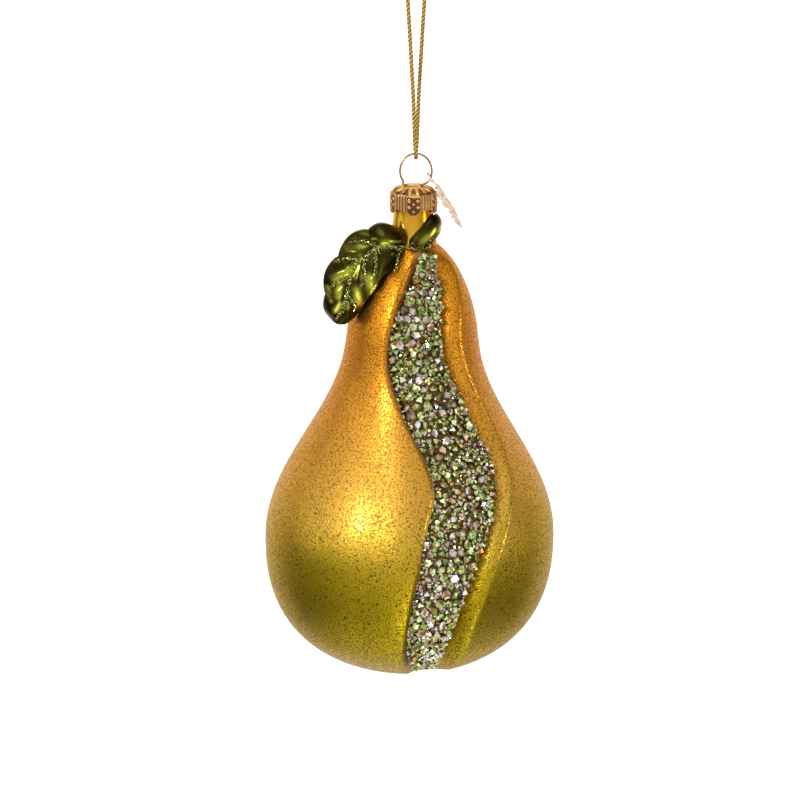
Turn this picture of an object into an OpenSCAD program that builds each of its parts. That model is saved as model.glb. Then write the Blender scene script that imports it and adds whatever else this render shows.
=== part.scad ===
// Glass pear ornament: a blown pear with a jewelled cleft, leaves, a stamped crown cap and a hanging cord.
// Units are millimetres, +Z is up, the jewelled front faces -Y, and the hanging point is the origin.

/* [Pear] */
// Widest diameter of the pear
belly_d = 74.5; // [66:0.5:82]
// Height of the widest point above the base
belly_z = 34.8; // [31:0.1:40]
// Fullness of the base, where 2 is an ellipse
base_power = 2.4; // [2:0.05:2.5]
// Diameter of the pear's upper part
upper_d = 34; // [31:0.5:38]
// Height over which the belly falls to the upper part
waist_h = 54; // [50:0.5:60]
// Height of the upper part below its domed top
upper_h = 49; // [46:0.5:54]
// Height of the domed top, were it closed
dome_h = 31; // [27:0.5:35]
// Fullness of the domed top, where 2 is an ellipse
dome_power = 1.65; // [1.5:0.05:2.1]
// Sideways set of the base from the stem's axis
lean = 1.4; // [0:0.1:2]
// Thickness of the glass
wall = 1.2; // [0.9:0.1:1.6]

/* [Cleft] */
// Depth of the cleft below the pear's skin
cleft_depth = 3.2; // [2.6:0.1:4]
// Share of the full width of the jewelled band
band_share = 1; // [0.8:0.05:1.1]
// Width of the steep left side of the cleft
left_side = 2.6; // [2:0.1:4]
// Width of the sloping right side of the cleft
right_side = 5; // [3:0.1:6]
// Rise of the left lip above the skin
left_lip = 1; // [0:0.1:1.6]
// Rise of the right lip above the skin
right_lip = 0.8; // [0:0.1:1.6]
// Width over which a lip runs out
lip_fade = 11; // [8:0.5:13]

/* [Crystals] */
// Girdle diameter of the largest stones
stone_d = 2.4; // [2.3:0.1:3]
// Diameter of the next smaller stones, and of the smallest, as a share of the step before
stone_step = 0.8; // [0.7:0.01:0.9]
// Thickness of the bed that holds the stones
bed_h = 1.5; // [1.3:0.1:2]
// Clear space between stones
stone_gap = 0.06; // [0.02:0.01:0.2]
// Largest lean of a stone from upright, in degrees
stone_tilt = 34; // [0:1:50]

/* [Stem] */
// Diameter of the stem below the cap
stem_d = 10.8; // [9.8:0.1:12]
// Diameter of the stem's foot on the pear
foot_d = 12; // [11:0.1:14]
// Height of the stem from the pear to the rim inside the cap
stem_h = 14.6; // [13:0.1:17]
// Diameter of the hole down the stem
bore_d = 7.8; // [7:0.1:8.2]
// Amount by which the neck inside the cap is smaller across
neck_step = 1; // [0.6:0.1:1.2]

/* [Leaves] */
// Scale of the large leaf's width
leaf_width = 1; // [0.8:0.05:1.15]
// Thickness of the large leaf in its middle
leaf_t = 5; // [4:0.1:6]
// Thickness of the small leaf in its middle
small_leaf_t = 2; // [1.4:0.1:2.6]
// Height of the small leaf's blade
small_leaf_w = 6.4; // [5:0.1:7]

/* [Cap] */
// Thickness of the cap's sheet
sheet = 0.35; // [0.25:0.05:0.5]
// Height of the cap to the deepest point of its edge
cap_h = 6.6; // [5.6:0.1:8]
// Number of flower panels round the cap
panels = 5; // [4:1:6]
// Clear space between cap and neck
cap_fit = 0.15; // [0.1:0.05:0.25]
// Diameter of the beads in a panel
bead_d = 1.1; // [0.8:0.05:1.3]

/* [Hanger] */
// Diameter of the hanger wire
wire_d = 0.7; // [0.5:0.05:0.9]
// Diameter of the wire's ring along its middle
ring_d = 8; // [7.6:0.1:9]
// Sideways set of the ring from the cap's middle
ring_shift = 0.6; // [0.4:0.1:0.8]
// Depth that the spring legs reach below the cap's top
leg_h = 15; // [10:0.5:20]

/* [Tag] */
// Length of the charm from its hole to its far point
tag_l = 15.5; // [12:0.5:17]
// Thickness of the charm
tag_t = 0.5; // [0.4:0.05:0.7]
// Diameter of the charm's hole
tag_hole_d = 1.5; // [1.3:0.05:1.8]
// Lean of the charm from upright, in degrees
tag_lean = 32; // [31:1:38]

/* [Cord] */
// Diameter of the hanging cord
cord_d = 1.1; // [0.9:0.05:1.2]

/* [Hidden] */

$fn = 48;
eps = 0.01;

// Route of the cord from the knot down the left strand, under the wire ring and up the right strand
half_route = [[-0.8, 0, 0.6], [-2.2, 0, 0.1], [-3.2, 0, -1.6], [-3.5, 0, -4.5], [-3.3, -0.1, -10],
              [-2.8, -0.3, -18], [-2.2, -0.5, -26], [-1.7, -0.8, -34], [-1.2, -1.2, -43],
              [-0.7, -1.6, -52], [-0.4, -1.9, -60], [-0.2, -2, -65], [0, -1.5, -67.3]];
bight = [0, 0, -68];
route = concat(half_route, [bight], [for (i = [len(half_route) - 1 : -1 : 0])
        [-half_route[i].x, -half_route[i].y, half_route[i].z]]);
cord_steps = 2;
cord_sides = 8;
tail_l = 7;

// Middle line of the jewelled band, and its half width, by height above the base
band_line = [[-10, 3.5], [0, 3.8], [14, 5], [34, 8.8], [55, 13.5], [73, 7], [89, 1.7], [105, 3.6], [118, 3.2]];
band_half = [[-10, 0.5], [0, 1], [6, 3.2], [15, 5.5], [35, 7.9], [77, 9], [95, 6.5], [104, 4.2], [110, 1.9],
             [118, 0.6]];
band_full_h = 112;

// Heights down from the hanging point
wire_touch = 0.1;
ring_r = ring_d / 2;
ring_top_z = bight.z + (cord_d + wire_d) / 2 + wire_touch;
ring_z = ring_top_z - ring_r;
ring_open = 45;
ring_sit = 0.3;
axis_x = -ring_shift;
cap_top_z = ring_z - ring_r - ring_sit;
rim_z = cap_top_z - sheet - cap_fit;
foot_z = rim_z - stem_h;
dome_share = sqrt(1 - pow(foot_d / upper_d, dome_power));
pear_h = belly_z + upper_h + dome_h * dome_share;
base_z = foot_z - pear_h;

// Fits of neck, cap and wire
neck_r = (stem_d - neck_step) / 2;
cap_in_r = neck_r + cap_fit;
cap_r = cap_in_r + sheet;
cap_round = 0.8;
leg_clear = 0.2;
hole_x = 1.4;
leg_x = (bore_d - wire_d) / 2 - leg_clear;
wire_hole_d = wire_d + 0.3;
bend_swell = 0.04;

// Numbers of steps round and up the pear
fade_n = 3;
side_n = 4;
floor_n = 7;
back_n = 20;
base_n = 9;
upper_n = 26;
round_n = 2 * fade_n + 2 * side_n + floor_n + back_n;

function smooth(t) = let (c = min(1, max(0, t))) c * c * (3 - 2 * c);
function flat(l) = [for (a = l) for (b = a) b];
function unit(v) = v / norm(v);

// Smooth curve through a table of [key, value] rows
function curve(x, tab, i = 0) =
    i < len(tab) - 2 && x > tab[i + 1][0] ? curve(x, tab, i + 1) :
    let (a = tab[max(0, i - 1)], b = tab[i], c = tab[i + 1], d = tab[min(len(tab) - 1, i + 2)],
         w = c[0] - b[0], t = min(1, max(0, (x - b[0]) / w)),
         mb = (c[1] - a[1]) / (c[0] - a[0]) * w, mc = (d[1] - b[1]) / (d[0] - b[0]) * w)
    b[1] * (1 + 2 * t) * (1 - t) * (1 - t) + mb * t * (1 - t) * (1 - t)
    + c[1] * t * t * (3 - 2 * t) + mc * t * t * (t - 1);

// Smooth curve through points in space, at a whole-number step plus a fraction
function through(pts, u) =
    let (n = len(pts) - 1, i = min(n - 1, floor(u)), t = u - i,
         a = i > 0 ? pts[i - 1] : 2 * pts[0] - pts[1], b = pts[i], c = pts[i + 1],
         d = i + 2 <= n ? pts[i + 2] : 2 * pts[n] - pts[n - 1])
    0.5 * (2 * b + (c - a) * t + (2 * a - 5 * b + 4 * c - d) * t * t + (3 * b - 3 * c + d - a) * t * t * t);

// Radius of the pear's upper half at a height above the base
function upper_r(z) =
    let (fall = min(1, (z - belly_z) / waist_h), up = max(0, (z - belly_z - upper_h) / dome_h))
    (upper_d + (belly_d - upper_d) * (1 + cos(180 * fall)) / 2) / 2 * pow(max(0, 1 - up * up), 1 / dome_power);

// Outline of the pear as [radius, height]: q runs 0 to 1 round the base, then 1 to 2 up to the stem
function outline(q) =
    q <= 1 ? let (a = 88 * (1 - q), e = 2 / base_power)
        [belly_d / 2 * pow(cos(a), e), belly_z * (1 - pow(sin(a), e))]
    : let (t = q - 1, z = belly_z + (pear_h - belly_z) * (t + sin(90 * t)) / 2) [upper_r(z), z];
function outline_normal(q) =
    let (a = outline(max(0, q - 0.01)), b = outline(min(2, q + 0.01)), v = unit(b - a)) [v.y, -v.x];

// Radius of pear or stem at a height above the base
function body_r(z) =
    z >= pear_h ? stem_r(z - pear_h) :
    z >= belly_z ? upper_r(z) :
    belly_d / 2 * pow(max(0, 1 - pow(1 - z / belly_z, base_power)), 1 / base_power);
function stem_r(h) = stem_d / 2 + (foot_d - stem_d) / 2 * (1 - smooth(h / 3));

function cleft_run(z) = smooth(z / 5) * smooth((pear_h - z) / 7);
function band_w(z) = band_share * max(0.4, curve(z * band_full_h / pear_h, band_half));
function band_angle(r, z) =
    asin(min(0.6, curve(z * band_full_h / pear_h, band_line) / max(r, eps)));

// A point of the skin: d runs round the pear from the band's middle, h stands off the outline
function skin(q, d, h) =
    let (o = outline(q), n = outline_normal(q), r = o.x + h * n.x,
         a = band_angle(o.x, o.y) + d / o.x * 180 / PI)
    [axis_at(o.y) + r * sin(a), -r * cos(a), base_z + o.y + h * n.y];
function axis_at(z) = axis_x - lean * (1 - z / pear_h);

// Stations round the pear at one height, as [place round, stand-off] pairs
function stations(q) =
    let (o = outline(q), run = cleft_run(o.y), w = band_w(o.y), turn = 2 * PI * o.x,
         all = 2 * w + left_side + right_side + 2 * lip_fade, k = min(1, 0.75 * turn / all),
         l1 = -w * k, l2 = l1 - left_side * k, l3 = l2 - lip_fade * k,
         r1 = w * k, r2 = r1 + right_side * k, r3 = r2 + lip_fade * k,
         low = -cleft_depth * run, hl = left_lip * run, hr = right_lip * run)
    concat([for (i = [0 : fade_n - 1]) let (t = i / fade_n) [l3 + (l2 - l3) * t, hl * smooth(t)]],
           [for (i = [0 : side_n - 1]) let (t = i / side_n) [l2 + (l1 - l2) * t, hl + (low - hl) * smooth(t)]],
           [for (i = [0 : floor_n - 1]) [l1 + (r1 - l1) * i / floor_n, low]],
           [for (i = [0 : side_n - 1]) let (t = i / side_n) [r1 + (r2 - r1) * t, low + (hr - low) * smooth(t)]],
           [for (i = [0 : fade_n - 1]) let (t = i / fade_n) [r2 + (r3 - r2) * t, hr * (1 - smooth(t))]],
           [for (i = [0 : back_n - 1]) [r3 + (turn + l3 - r3) * i / back_n, 0]]);
function skin_ring(q, inset) = [for (s = stations(q)) skin(q, s[0], s[1] - inset)];
function plain_ring(r, z) =
    let (o = outline(2), mid = band_angle(o.x, pear_h))
    [for (s = stations(2)) let (a = mid + s[0] / o.x * 180 / PI) [axis_x + r * sin(a), -r * cos(a), z]];
function step_q(j) = j <= base_n ? j / base_n : 1 + (j - base_n) / upper_n;

// Triangles of a skin stretched over rings of n points, closed at both ends
function ring_faces(m, n) = concat(
    [[for (i = [0 : n - 1]) i]],
    flat([for (j = [0 : m - 2]) for (i = [0 : n - 1])
        let (a = j * n + i, b = j * n + (i + 1) % n, c = b + n, d = a + n) [[a, d, c], [a, c, b]]]),
    [[for (i = [n - 1 : -1 : 0]) (m - 1) * n + i]]);

// Triangles of a slab between an upper and a lower sheet, each of m rows of n points
function slab_faces(m, n) =
    let (s = m * n)
    flat([for (j = [0 : m - 2]) for (i = [0 : n - 2])
            let (a = j * n + i, b = a + 1, c = b + n, d = a + n)
            [[a, d, c], [a, c, b], [s + a, s + c, s + d], [s + a, s + b, s + c]]]);
function slab_edges(m, n) =
    let (s = m * n)
    concat(flat([for (i = [0 : n - 2]) let (a = i, b = i + 1, c = (m - 1) * n + i, d = c + 1)
                 [[a, b, s + b], [a, s + b, s + a], [c, s + c, s + d], [c, s + d, d]]]),
           flat([for (j = [0 : m - 2]) let (a = j * n, b = a + n, c = a + n - 1, d = b + n - 1)
                 [[a, s + a, s + b], [a, s + b, b], [c, d, s + d], [c, s + d, s + c]]]));
module slab(upper, lower) {
    m = len(upper);
    n = len(upper[0]);
    polyhedron(concat(flat(upper), flat(lower)), concat(slab_faces(m, n), slab_edges(m, n)));
}

// Tube of round section along a list of points
function tube_frames(pts, i, side) =
    let (last = len(pts) - 1, t = unit(pts[min(last, i + 1)] - pts[max(0, i - 1)]),
         n = unit(side - t * (side * t)))
    concat([[n, cross(t, n)]], i < last ? tube_frames(pts, i + 1, n) : []);
module tube(pts, d, n, side) {
    fr = tube_frames(pts, 0, side);
    rings = [for (i = [0 : len(pts) - 1]) [for (k = [0 : n - 1])
            pts[i] + d / 2 * (cos(360 * k / n) * fr[i][0] + sin(360 * k / n) * fr[i][1])]];
    polyhedron(flat(rings), ring_faces(len(rings), n));
}

module hanging_cord() {
    color("#c9b070")
    tube([for (i = [0 : cord_steps * (len(route) - 1)]) through(route, i / cord_steps)],
         cord_d, cord_sides, [0, 1, 0]);
}

module cord_knot() {
    wraps = 3;
    wrap_r = cord_d * 0.75;
    pitch = cord_d * 0.8;
    color("#c9b070")
    translate([0, 0, cord_d / 2]) {
        for (i = [0 : wraps - 1])
            translate([(i - (wraps - 1) / 2) * pitch, 0, 0])
                rotate([0, 90, 0])
                rotate_extrude()
                translate([wrap_r, 0])
                circle(d = cord_d);
        for (s = [-1, 1])
            rotate([0, s * 14, 0])
            translate([0, 0, wrap_r])
            cylinder(d = cord_d, h = tail_l);
    }
}

// Straight run of wire between two points, with a slightly fuller bend at its start
module wire_run(a, b) {
    v = b - a;
    translate(a) {
        sphere(d = wire_d + bend_swell);
        rotate([0, acos(v.z / norm(v)), atan2(v.y, v.x)])
            cylinder(d = wire_d, h = norm(v));
    }
}

module hanger_wire() {
    drop = cap_top_z - ring_z;
    color("#b8894a")
    translate([0, 0, ring_z]) {
        rotate([90, 0, 0])
            rotate([0, 0, -ring_open])
            rotate_extrude(angle = 180 + 2 * ring_open)
            translate([ring_r, 0])
            circle(d = wire_d);
        for (s = [-1, 1]) {
            end = ring_r * [s * cos(ring_open), 0, -sin(ring_open)];
            top = [axis_x + s * hole_x, 0, drop + wire_d];
            under = [axis_x + s * hole_x, 0, drop - sheet - wire_d];
            foot = [axis_x + s * leg_x, 0, drop - leg_h];
            wire_run(end, top);
            wire_run(top, under);
            wire_run(under, foot);
            translate(foot) sphere(d = wire_d + bend_swell);
        }
    }
}

module cap() {
    pitch = 360 / panels;
    panel_a = 0.62 * pitch;
    panel_low = 0.9;
    panel_high = cap_h - 1.2;
    bow = 0.35;
    flower_h = cap_h * 0.47;
    flower_w = 10;
    petal = 1.05;
    bar_d = 0.6;
    arch_r = 3.4;
    arch_h = 1.9;
    ray_r = 2.4;
    color("#b98548")
    translate([axis_x, 0, cap_top_z - cap_h])
    difference() {
        union() {
            // Outside of the sheet with its rounded top edge and raised middle
            cylinder(r = cap_r, h = cap_h - cap_round);
            translate([0, 0, cap_h - cap_round]) {
                cylinder(r = cap_r - cap_round, h = cap_round);
                rotate_extrude() translate([cap_r - cap_round, 0]) circle(r = cap_round);
            }
            translate([0, 0, cap_h - eps]) cylinder(r1 = ray_r + 0.2, r2 = ray_r, h = 0.2);
            for (p = [0 : panels - 1])
                rotate([0, 0, p * pitch - 90]) {
                    // Raised panel with its flower of beads
                    rotate([0, 0, -panel_a / 2])
                        rotate_extrude(angle = panel_a)
                        polygon([[cap_r - bow, panel_low], [cap_r + bow, panel_low + bow],
                                 [cap_r + bow, panel_high - bow], [cap_r - bow, panel_high]]);
                    for (b = [[-flower_w, petal], [flower_w, petal], [-flower_w, -petal],
                              [flower_w, -petal], [0, 0]])
                        rotate([0, 0, b[0]])
                        translate([cap_r + bow - 0.1, 0, flower_h + b[1]])
                        sphere(d = bead_d);
                    // Narrow fluted leaf between two panels
                    for (a = [-7, 0, 7])
                        rotate([0, 0, pitch / 2 + a])
                        translate([cap_r, 0, arch_h + 0.3])
                        cylinder(d = bar_d, h = panel_high - arch_h - 0.3);
                }
            // Rays pressed into the top
            for (p = [0 : 2 * panels - 1])
                rotate([0, 0, (p + 0.5) * pitch / 2 - 90])
                translate([ray_r - 0.3, 0, cap_h - 0.1])
                rotate([0, 90, 0])
                cylinder(d = bar_d, h = cap_r - cap_round - ray_r + 0.3);
        }
        translate([0, 0, -1]) cylinder(r = cap_in_r, h = cap_h + 1 - sheet);
        // Edge arched up between the panels' points
        for (p = [0 : panels - 1])
            rotate([0, 0, (p + 0.5) * pitch - 90])
            translate([cap_in_r - 0.6, 0, arch_h - arch_r])
            rotate([0, 90, 0])
            cylinder(r = arch_r, h = sheet + 2);
        for (s = [-1, 1])
            translate([s * hole_x, 0, cap_h - 1]) cylinder(d = wire_hole_d, h = 2);
    }
}

// Snowflake outline of the charm, hung from the end of one arm
module charm_outline() {
    eye_r = tag_hole_d / 2 + 0.7;
    arm = (tag_l - eye_r / 2) / 2;
    arm_w = 1.1;
    barb_l = 2.6;
    translate([0, -tag_l + arm])
    difference() {
        union() {
            circle(r = arm * 0.34, $fn = 6);
            for (a = [0 : 60 : 300])
                rotate(a) {
                    translate([-arm_w / 2, 0]) square([arm_w, arm - arm_w]);
                    translate([0, arm - arm_w]) circle(d = arm_w * 1.6);
                    for (s = [-60, 60], f = [0.42, 0.68])
                        translate([0, arm * f])
                        rotate(s)
                        translate([-arm_w / 2, 0])
                        square([arm_w, barb_l * (1.25 - f / 2)]);
                }
            translate([0, tag_l - arm]) circle(r = eye_r);
            translate([-arm_w / 2, arm / 2]) square([arm_w, tag_l - arm * 1.5]);
        }
        translate([0, tag_l - arm]) circle(d = tag_hole_d);
    }
}

tag_turn = 30;
tag_pin = ring_r * [cos(tag_turn), 0, -sin(tag_turn)];
module hang_tag() {
    sit = (tag_hole_d - wire_d) / 2 - 0.2;
    color("#d8a98c")
    translate([0, 0, ring_z])
    translate(tag_pin)
    rotate([0, -tag_lean, 0])
    translate([0, 0, -sit])
    rotate([90, 0, 90])
    translate([0, 0, -tag_t / 2])
    linear_extrude(tag_t)
    charm_outline();
}

module pear_shell() {
    last = base_n + upper_n;
    outer = [for (j = [0 : last]) skin_ring(step_q(j), 0)];
    inner = [for (j = [last - 2 : -2 : 0]) skin_ring(step_q(j), wall)];
    rings = concat(outer, [plain_ring(bore_d / 2, foot_z), plain_ring(bore_d / 2, foot_z - wall)], inner);
    color("#b8862a")
    polyhedron(flat(rings), ring_faces(len(rings), round_n));
}

module stem_neck() {
    shoulder = cap_top_z - cap_h - foot_z - 0.3;
    lip = 0.4;
    color("#c89a30")
    translate([axis_x, 0, foot_z])
    rotate_extrude()
    polygon(concat([[bore_d / 2, 0]],
                   [for (h = [0 : 0.5 : 3]) [stem_r(h), h]],
                   [[stem_d / 2, shoulder - neck_step / 2], [neck_r, shoulder], [neck_r, stem_h - lip],
                    [neck_r - lip, stem_h], [bore_d / 2, stem_h]]));
}

// How far the left lip stands out sideways at a place round the pear
function lip_at(x, y, z) =
    let (r = body_r(z), w = band_w(z), all = 2 * w + left_side + right_side + 2 * lip_fade,
         k = min(1, 0.75 * 2 * PI * r / all), far = -(w + left_side + lip_fade) * k,
         d = (atan2(x, -y) - band_angle(r, z)) * PI / 180 * r)
    z > pear_h ? 0 : 1.3 * left_lip * cleft_run(z) * smooth((d - far) / (lip_fade * k));

// Pushes a point out of the pear or stem until it stands a given space off their surface
function stand_off(p, space) =
    let (z = p.z - base_z, x = p.x - axis_at(min(pear_h, z)), r = norm([x, p.y]),
         need = body_r(z) + lip_at(x, p.y, z) + space)
    r < need ? [p.x + x * (need / r - 1), p.y * need / r, p.z] : p;

// Edges of the large leaf from stem to tip as [side, up from the stem's foot], and its distance to the front
leaf_in = [[-2, 0], [-3.2, -3.4], [-6.5, -8.4], [-8.6, -11], [-10.7, -13.4], [-13.2, -16.2], [-15.8, -18.5]];
leaf_out = [[-3.6, 5.6], [-9, 6.9], [-14.9, 5], [-19.9, -0.4], [-22.8, -7], [-22.9, -14], [-21, -18.3]];
leaf_front = [[0, 6.8], [0.25, 9.4], [0.6, 11], [1, 9.6]];
leaf_seat = 0.1;
leaf_edge = 0.35;
leaf_curl = 2.6;
rib_t = 0.15;
lobes = 4;
lobe_cut = 0.16;
rib_n = 20;
blade_n = 12;

// One blade point of the large leaf: u along the leaf, t from the inner edge -1 to the outer edge 1
function leaf_point(u, t, side) =
    let (k = len(leaf_in) - 1, a = through(leaf_in, u * k), b = through(leaf_out, u * k), m = (a + b) / 2,
         wave = 1 - (t > 0 ? lobe_cut : lobe_cut / 2) * (1 - abs(sin(180 * lobes * u))),
         c = m + t * leaf_width * wave * (b - a) / 2,
         vein = 0.25 * (1 - smooth(abs(t - rib_t) * 5)),
         pad = 0.8 + 0.2 * abs(sin(180 * lobes * (u + 0.12 * abs(t - rib_t)))) - vein,
         thick = leaf_t * (leaf_edge + (1 - leaf_edge) * (1 - pow(abs(t), 3))) * (side > 0 ? pad : 1),
         end = min(1, 0.4 + 4 * min(u, 1 - u)))
    [axis_x + c.x, leaf_curl * t * t - curve(u, leaf_front) - side * thick / 2 * end, foot_z + c.y];
module large_leaf() {
    rows = [for (j = [0 : rib_n]) [for (i = [0 : blade_n]) [j / rib_n, 2 * i / blade_n - 1]]];
    back = [for (r = rows) [for (c = r) stand_off(leaf_point(c[0], c[1], -1), leaf_seat)]];
    front = [for (r = rows) [for (c = r)
            stand_off(leaf_point(c[0], c[1], 1), leaf_seat + leaf_t * leaf_edge)]];
    color("#3c3d0c")
    slab(front, back);
}

small_rib = [[-100, 1.5], [-75, 2.3], [-40, 4.4], [-5, 5.6], [30, 6.2]];
small_n = 14;
small_across = 6;

// One blade point of the small leaf, which wraps the stem: u along the rib, t across, s up from the stem
function small_point(u, t, s) =
    let (k = len(small_rib) - 1, p = through(small_rib, u * k),
         w = small_leaf_w / 2 * pow(sin(180 * min(0.97, 0.06 + 0.94 * u)), 0.7),
         h = max(0.4, p.y + t * w), r = stem_r(h) + leaf_seat
             + s * small_leaf_t * (0.3 + 0.7 * (1 - t * t)) * (0.45 + 0.55 * sin(180 * u)))
    [axis_x + r * cos(p.x), r * sin(p.x), foot_z + h];
module small_leaf() {
    rows = [for (j = [0 : small_n]) [for (i = [0 : small_across]) [j / small_n, 2 * i / small_across - 1]]];
    back = [for (r = rows) [for (c = r) stand_off(small_point(c[0], c[1], 0), leaf_seat)]];
    front = [for (r = rows) [for (c = r) stand_off(small_point(c[0], c[1], 1), leaf_seat + 0.5)]];
    color("#3c3d0c")
    slab(back, front);
}

// Bed that fills the floor of the cleft and follows the pear's own steps
bed_first = 3;
bed_last = base_n + upper_n - 1;
bed_low = step_q(bed_first) + 0.05;
bed_high = step_q(bed_last) - 0.04;
// Length up the outline against q, for even rows
function band_run() =
    let (n = 60, qs = [for (i = [0 : n]) bed_low + (bed_high - bed_low) * i / n])
    [for (i = 0, sum = 0; i <= n; sum = sum + norm(outline(qs[min(n, i + 1)]) - outline(qs[i])), i = i + 1)
        [sum, qs[i]]];
module crystal_bed() {
    first = fade_n + side_n;
    cols = [first : first + floor_n];
    low = [for (j = [bed_first : bed_last]) let (q = step_q(j), s = stations(q))
           [for (i = cols) skin(q, s[i][0], s[i][1])]];
    high = [for (j = [bed_first : bed_last]) let (q = step_q(j), s = stations(q))
            [for (i = cols) skin(q, s[i][0], s[i][1] + bed_h * bed_run(q))]];
    color("#a8741c")
    slab(high, low);
}
function bed_run(q) = 0.35 + 0.65 * cleft_run(outline(q).y);

// Places in the band as [point, size, colour draw, lean, turn, q, share of the half width]: close rows of the
// largest stones first, then smaller ones wherever room is left
tries = 900;
stone_lift = 0.5;
edge_room = 0.25;
function stone_place(q, f) =
    skin(q, f * max(0, band_w(outline(q).y) - edge_room), stone_level(q));
function stone_level(q) = bed_h * bed_run(q) - cleft_depth * cleft_run(outline(q).y) + stone_lift;
function stone(q, f, d, draw) = [stone_place(q, f), d, draw[0], draw[1] * stone_tilt, draw[2] * 360, q, f];
function row_places(d, seed) =
    let (run = band_run(), row = 0.87 * (d + 2.5 * stone_gap))
    [for (j = [0 : floor(run[len(run) - 1][0] / row)])
        let (q = lookup(j * row, run), o = outline(q), w = max(0.1, band_w(o.y) - edge_room),
             pitch = (d + 2.5 * stone_gap) * o.x / (o.x + stone_level(q) * outline_normal(q).x),
             mid = o.x * band_angle(o.x, o.y) * PI / 180, off = (j % 2) / 2,
             first = ceil((mid - w) / pitch - off), last = floor((mid + w) / pitch - off),
             draw = rands(0, 1, 3 * (last - first + 1) + 3, seed + j))
        for (i = [first : 1 : last])
            let (k = 3 * (i - first))
            stone(q, ((i + off) * pitch - mid) / w, d * (1 - 0.08 * draw[k + 2]),
                  [draw[k], draw[k + 1], draw[k + 2]])];
function loose_places(d, seed) =
    let (a = rands(bed_low, bed_high, tries, seed), b = rands(-1, 1, tries, seed + 1),
         c = rands(0, 1, 3 * tries, seed + 2))
    [for (i = [0 : tries - 1]) stone(a[i], b[i], d, [c[3 * i], c[3 * i + 1], c[3 * i + 2]])];
function clear_of(p, d, placed) =
    len([for (s = placed) if (norm(s[0] - p) < (s[1] + d) / 2 + stone_gap) 1]) == 0;
function fill(places, placed, i = 0) =
    i == len(places) ? placed :
    fill(places, clear_of(places[i][0], places[i][1], placed) ? concat(placed, [places[i]]) : placed, i + 1);
function all_stones() =
    let (mid = stone_d * stone_step, small = mid * stone_step)
    fill(loose_places(small, 73), fill(loose_places(mid, 41), fill(row_places(stone_d, 7), [])));

// Six-sided chaton: flat table, sloping crown, girdle and pointed back
facets = 6;
function stone_points(s) =
    let (q = s[5], up = unit(stone_place(q, s[6]) - skin(q, s[6], -4 * cleft_depth)),
         r = s[1] / 2, x0 = unit(cross(up, [0.3, 0.2, 1])), y0 = cross(up, x0),
         lean_to = cos(s[4]) * x0 + sin(s[4]) * y0, z = unit(cos(s[3]) * up + sin(s[3]) * lean_to),
         x = unit(cross(z, y0)), y = cross(z, x))
    concat([for (k = [0 : facets - 1]) let (a = 360 * k / facets + s[4])
            s[0] + 0.58 * r * (cos(a) * x + sin(a) * y) + 0.36 * r * z],
           [for (k = [0 : facets - 1]) let (a = 360 * k / facets + s[4]) s[0] + r * (cos(a) * x + sin(a) * y)],
           [s[0] - 0.85 * r * z]);
function stone_faces(b) = concat(
    [[for (k = [facets - 1 : -1 : 0]) b + k]],
    flat([for (k = [0 : facets - 1]) let (m = (k + 1) % facets, t = b + k, u = b + m, g = t + facets,
            h = u + facets, p = b + 2 * facets) [[t, u, h], [t, h, g], [g, h, p]]]));
module crystals(low, high) {
    some = [for (s = all_stones()) if (s[2] >= low && s[2] < high) s];
    polyhedron(flat([for (s = some) stone_points(s)]),
               flat([for (i = [0 : len(some) - 1]) stone_faces(i * (2 * facets + 1))]));
}
green_share = 0.62;
clear_share = 0.26;
module green_crystals() {
    color("#9aa53a") crystals(0, green_share);
}
module clear_crystals() {
    color("#e6e6dc") crystals(green_share, green_share + clear_share);
}
module smoky_crystals() {
    color("#5a5568") crystals(green_share + clear_share, 1);
}

hanging_cord();
cord_knot();
hanger_wire();
cap();
hang_tag();
pear_shell();
stem_neck();
large_leaf();
small_leaf();
crystal_bed();
green_crystals();
clear_crystals();
smoky_crystals();
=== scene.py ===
"""Looks of a blown-glass pear ornament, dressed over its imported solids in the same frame."""

from __future__ import annotations

import logging
import math
import random
from dataclasses import dataclass, field
from enum import Enum
from functools import partial
from typing import Any, Callable, Iterable, Sequence

import bmesh
import bpy
import numpy as np
from mathutils import Matrix, Quaternion, Vector
from mathutils.kdtree import KDTree


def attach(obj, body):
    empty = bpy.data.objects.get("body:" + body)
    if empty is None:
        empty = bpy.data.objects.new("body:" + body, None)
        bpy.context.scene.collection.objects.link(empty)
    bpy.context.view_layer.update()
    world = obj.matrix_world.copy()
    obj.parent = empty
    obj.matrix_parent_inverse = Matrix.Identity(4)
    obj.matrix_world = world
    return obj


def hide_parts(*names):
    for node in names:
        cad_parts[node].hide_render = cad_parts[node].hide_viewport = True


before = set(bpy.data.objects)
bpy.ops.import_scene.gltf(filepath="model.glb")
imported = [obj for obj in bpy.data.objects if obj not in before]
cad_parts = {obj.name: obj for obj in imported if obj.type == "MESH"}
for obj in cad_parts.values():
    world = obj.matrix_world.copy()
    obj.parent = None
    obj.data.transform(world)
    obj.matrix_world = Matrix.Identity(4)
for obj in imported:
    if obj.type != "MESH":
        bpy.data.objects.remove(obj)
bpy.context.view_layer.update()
MM = 0.001
LOG = logging.getLogger("pear_ornament")

Table = Sequence[tuple[float, float]]
Place = Callable[[float, float], Vector]


def smooth(t: float) -> float:
    """Eases a share from 0 to 1."""
    c = min(1.0, max(0.0, t))
    return c * c * (3 - 2 * c)


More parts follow.
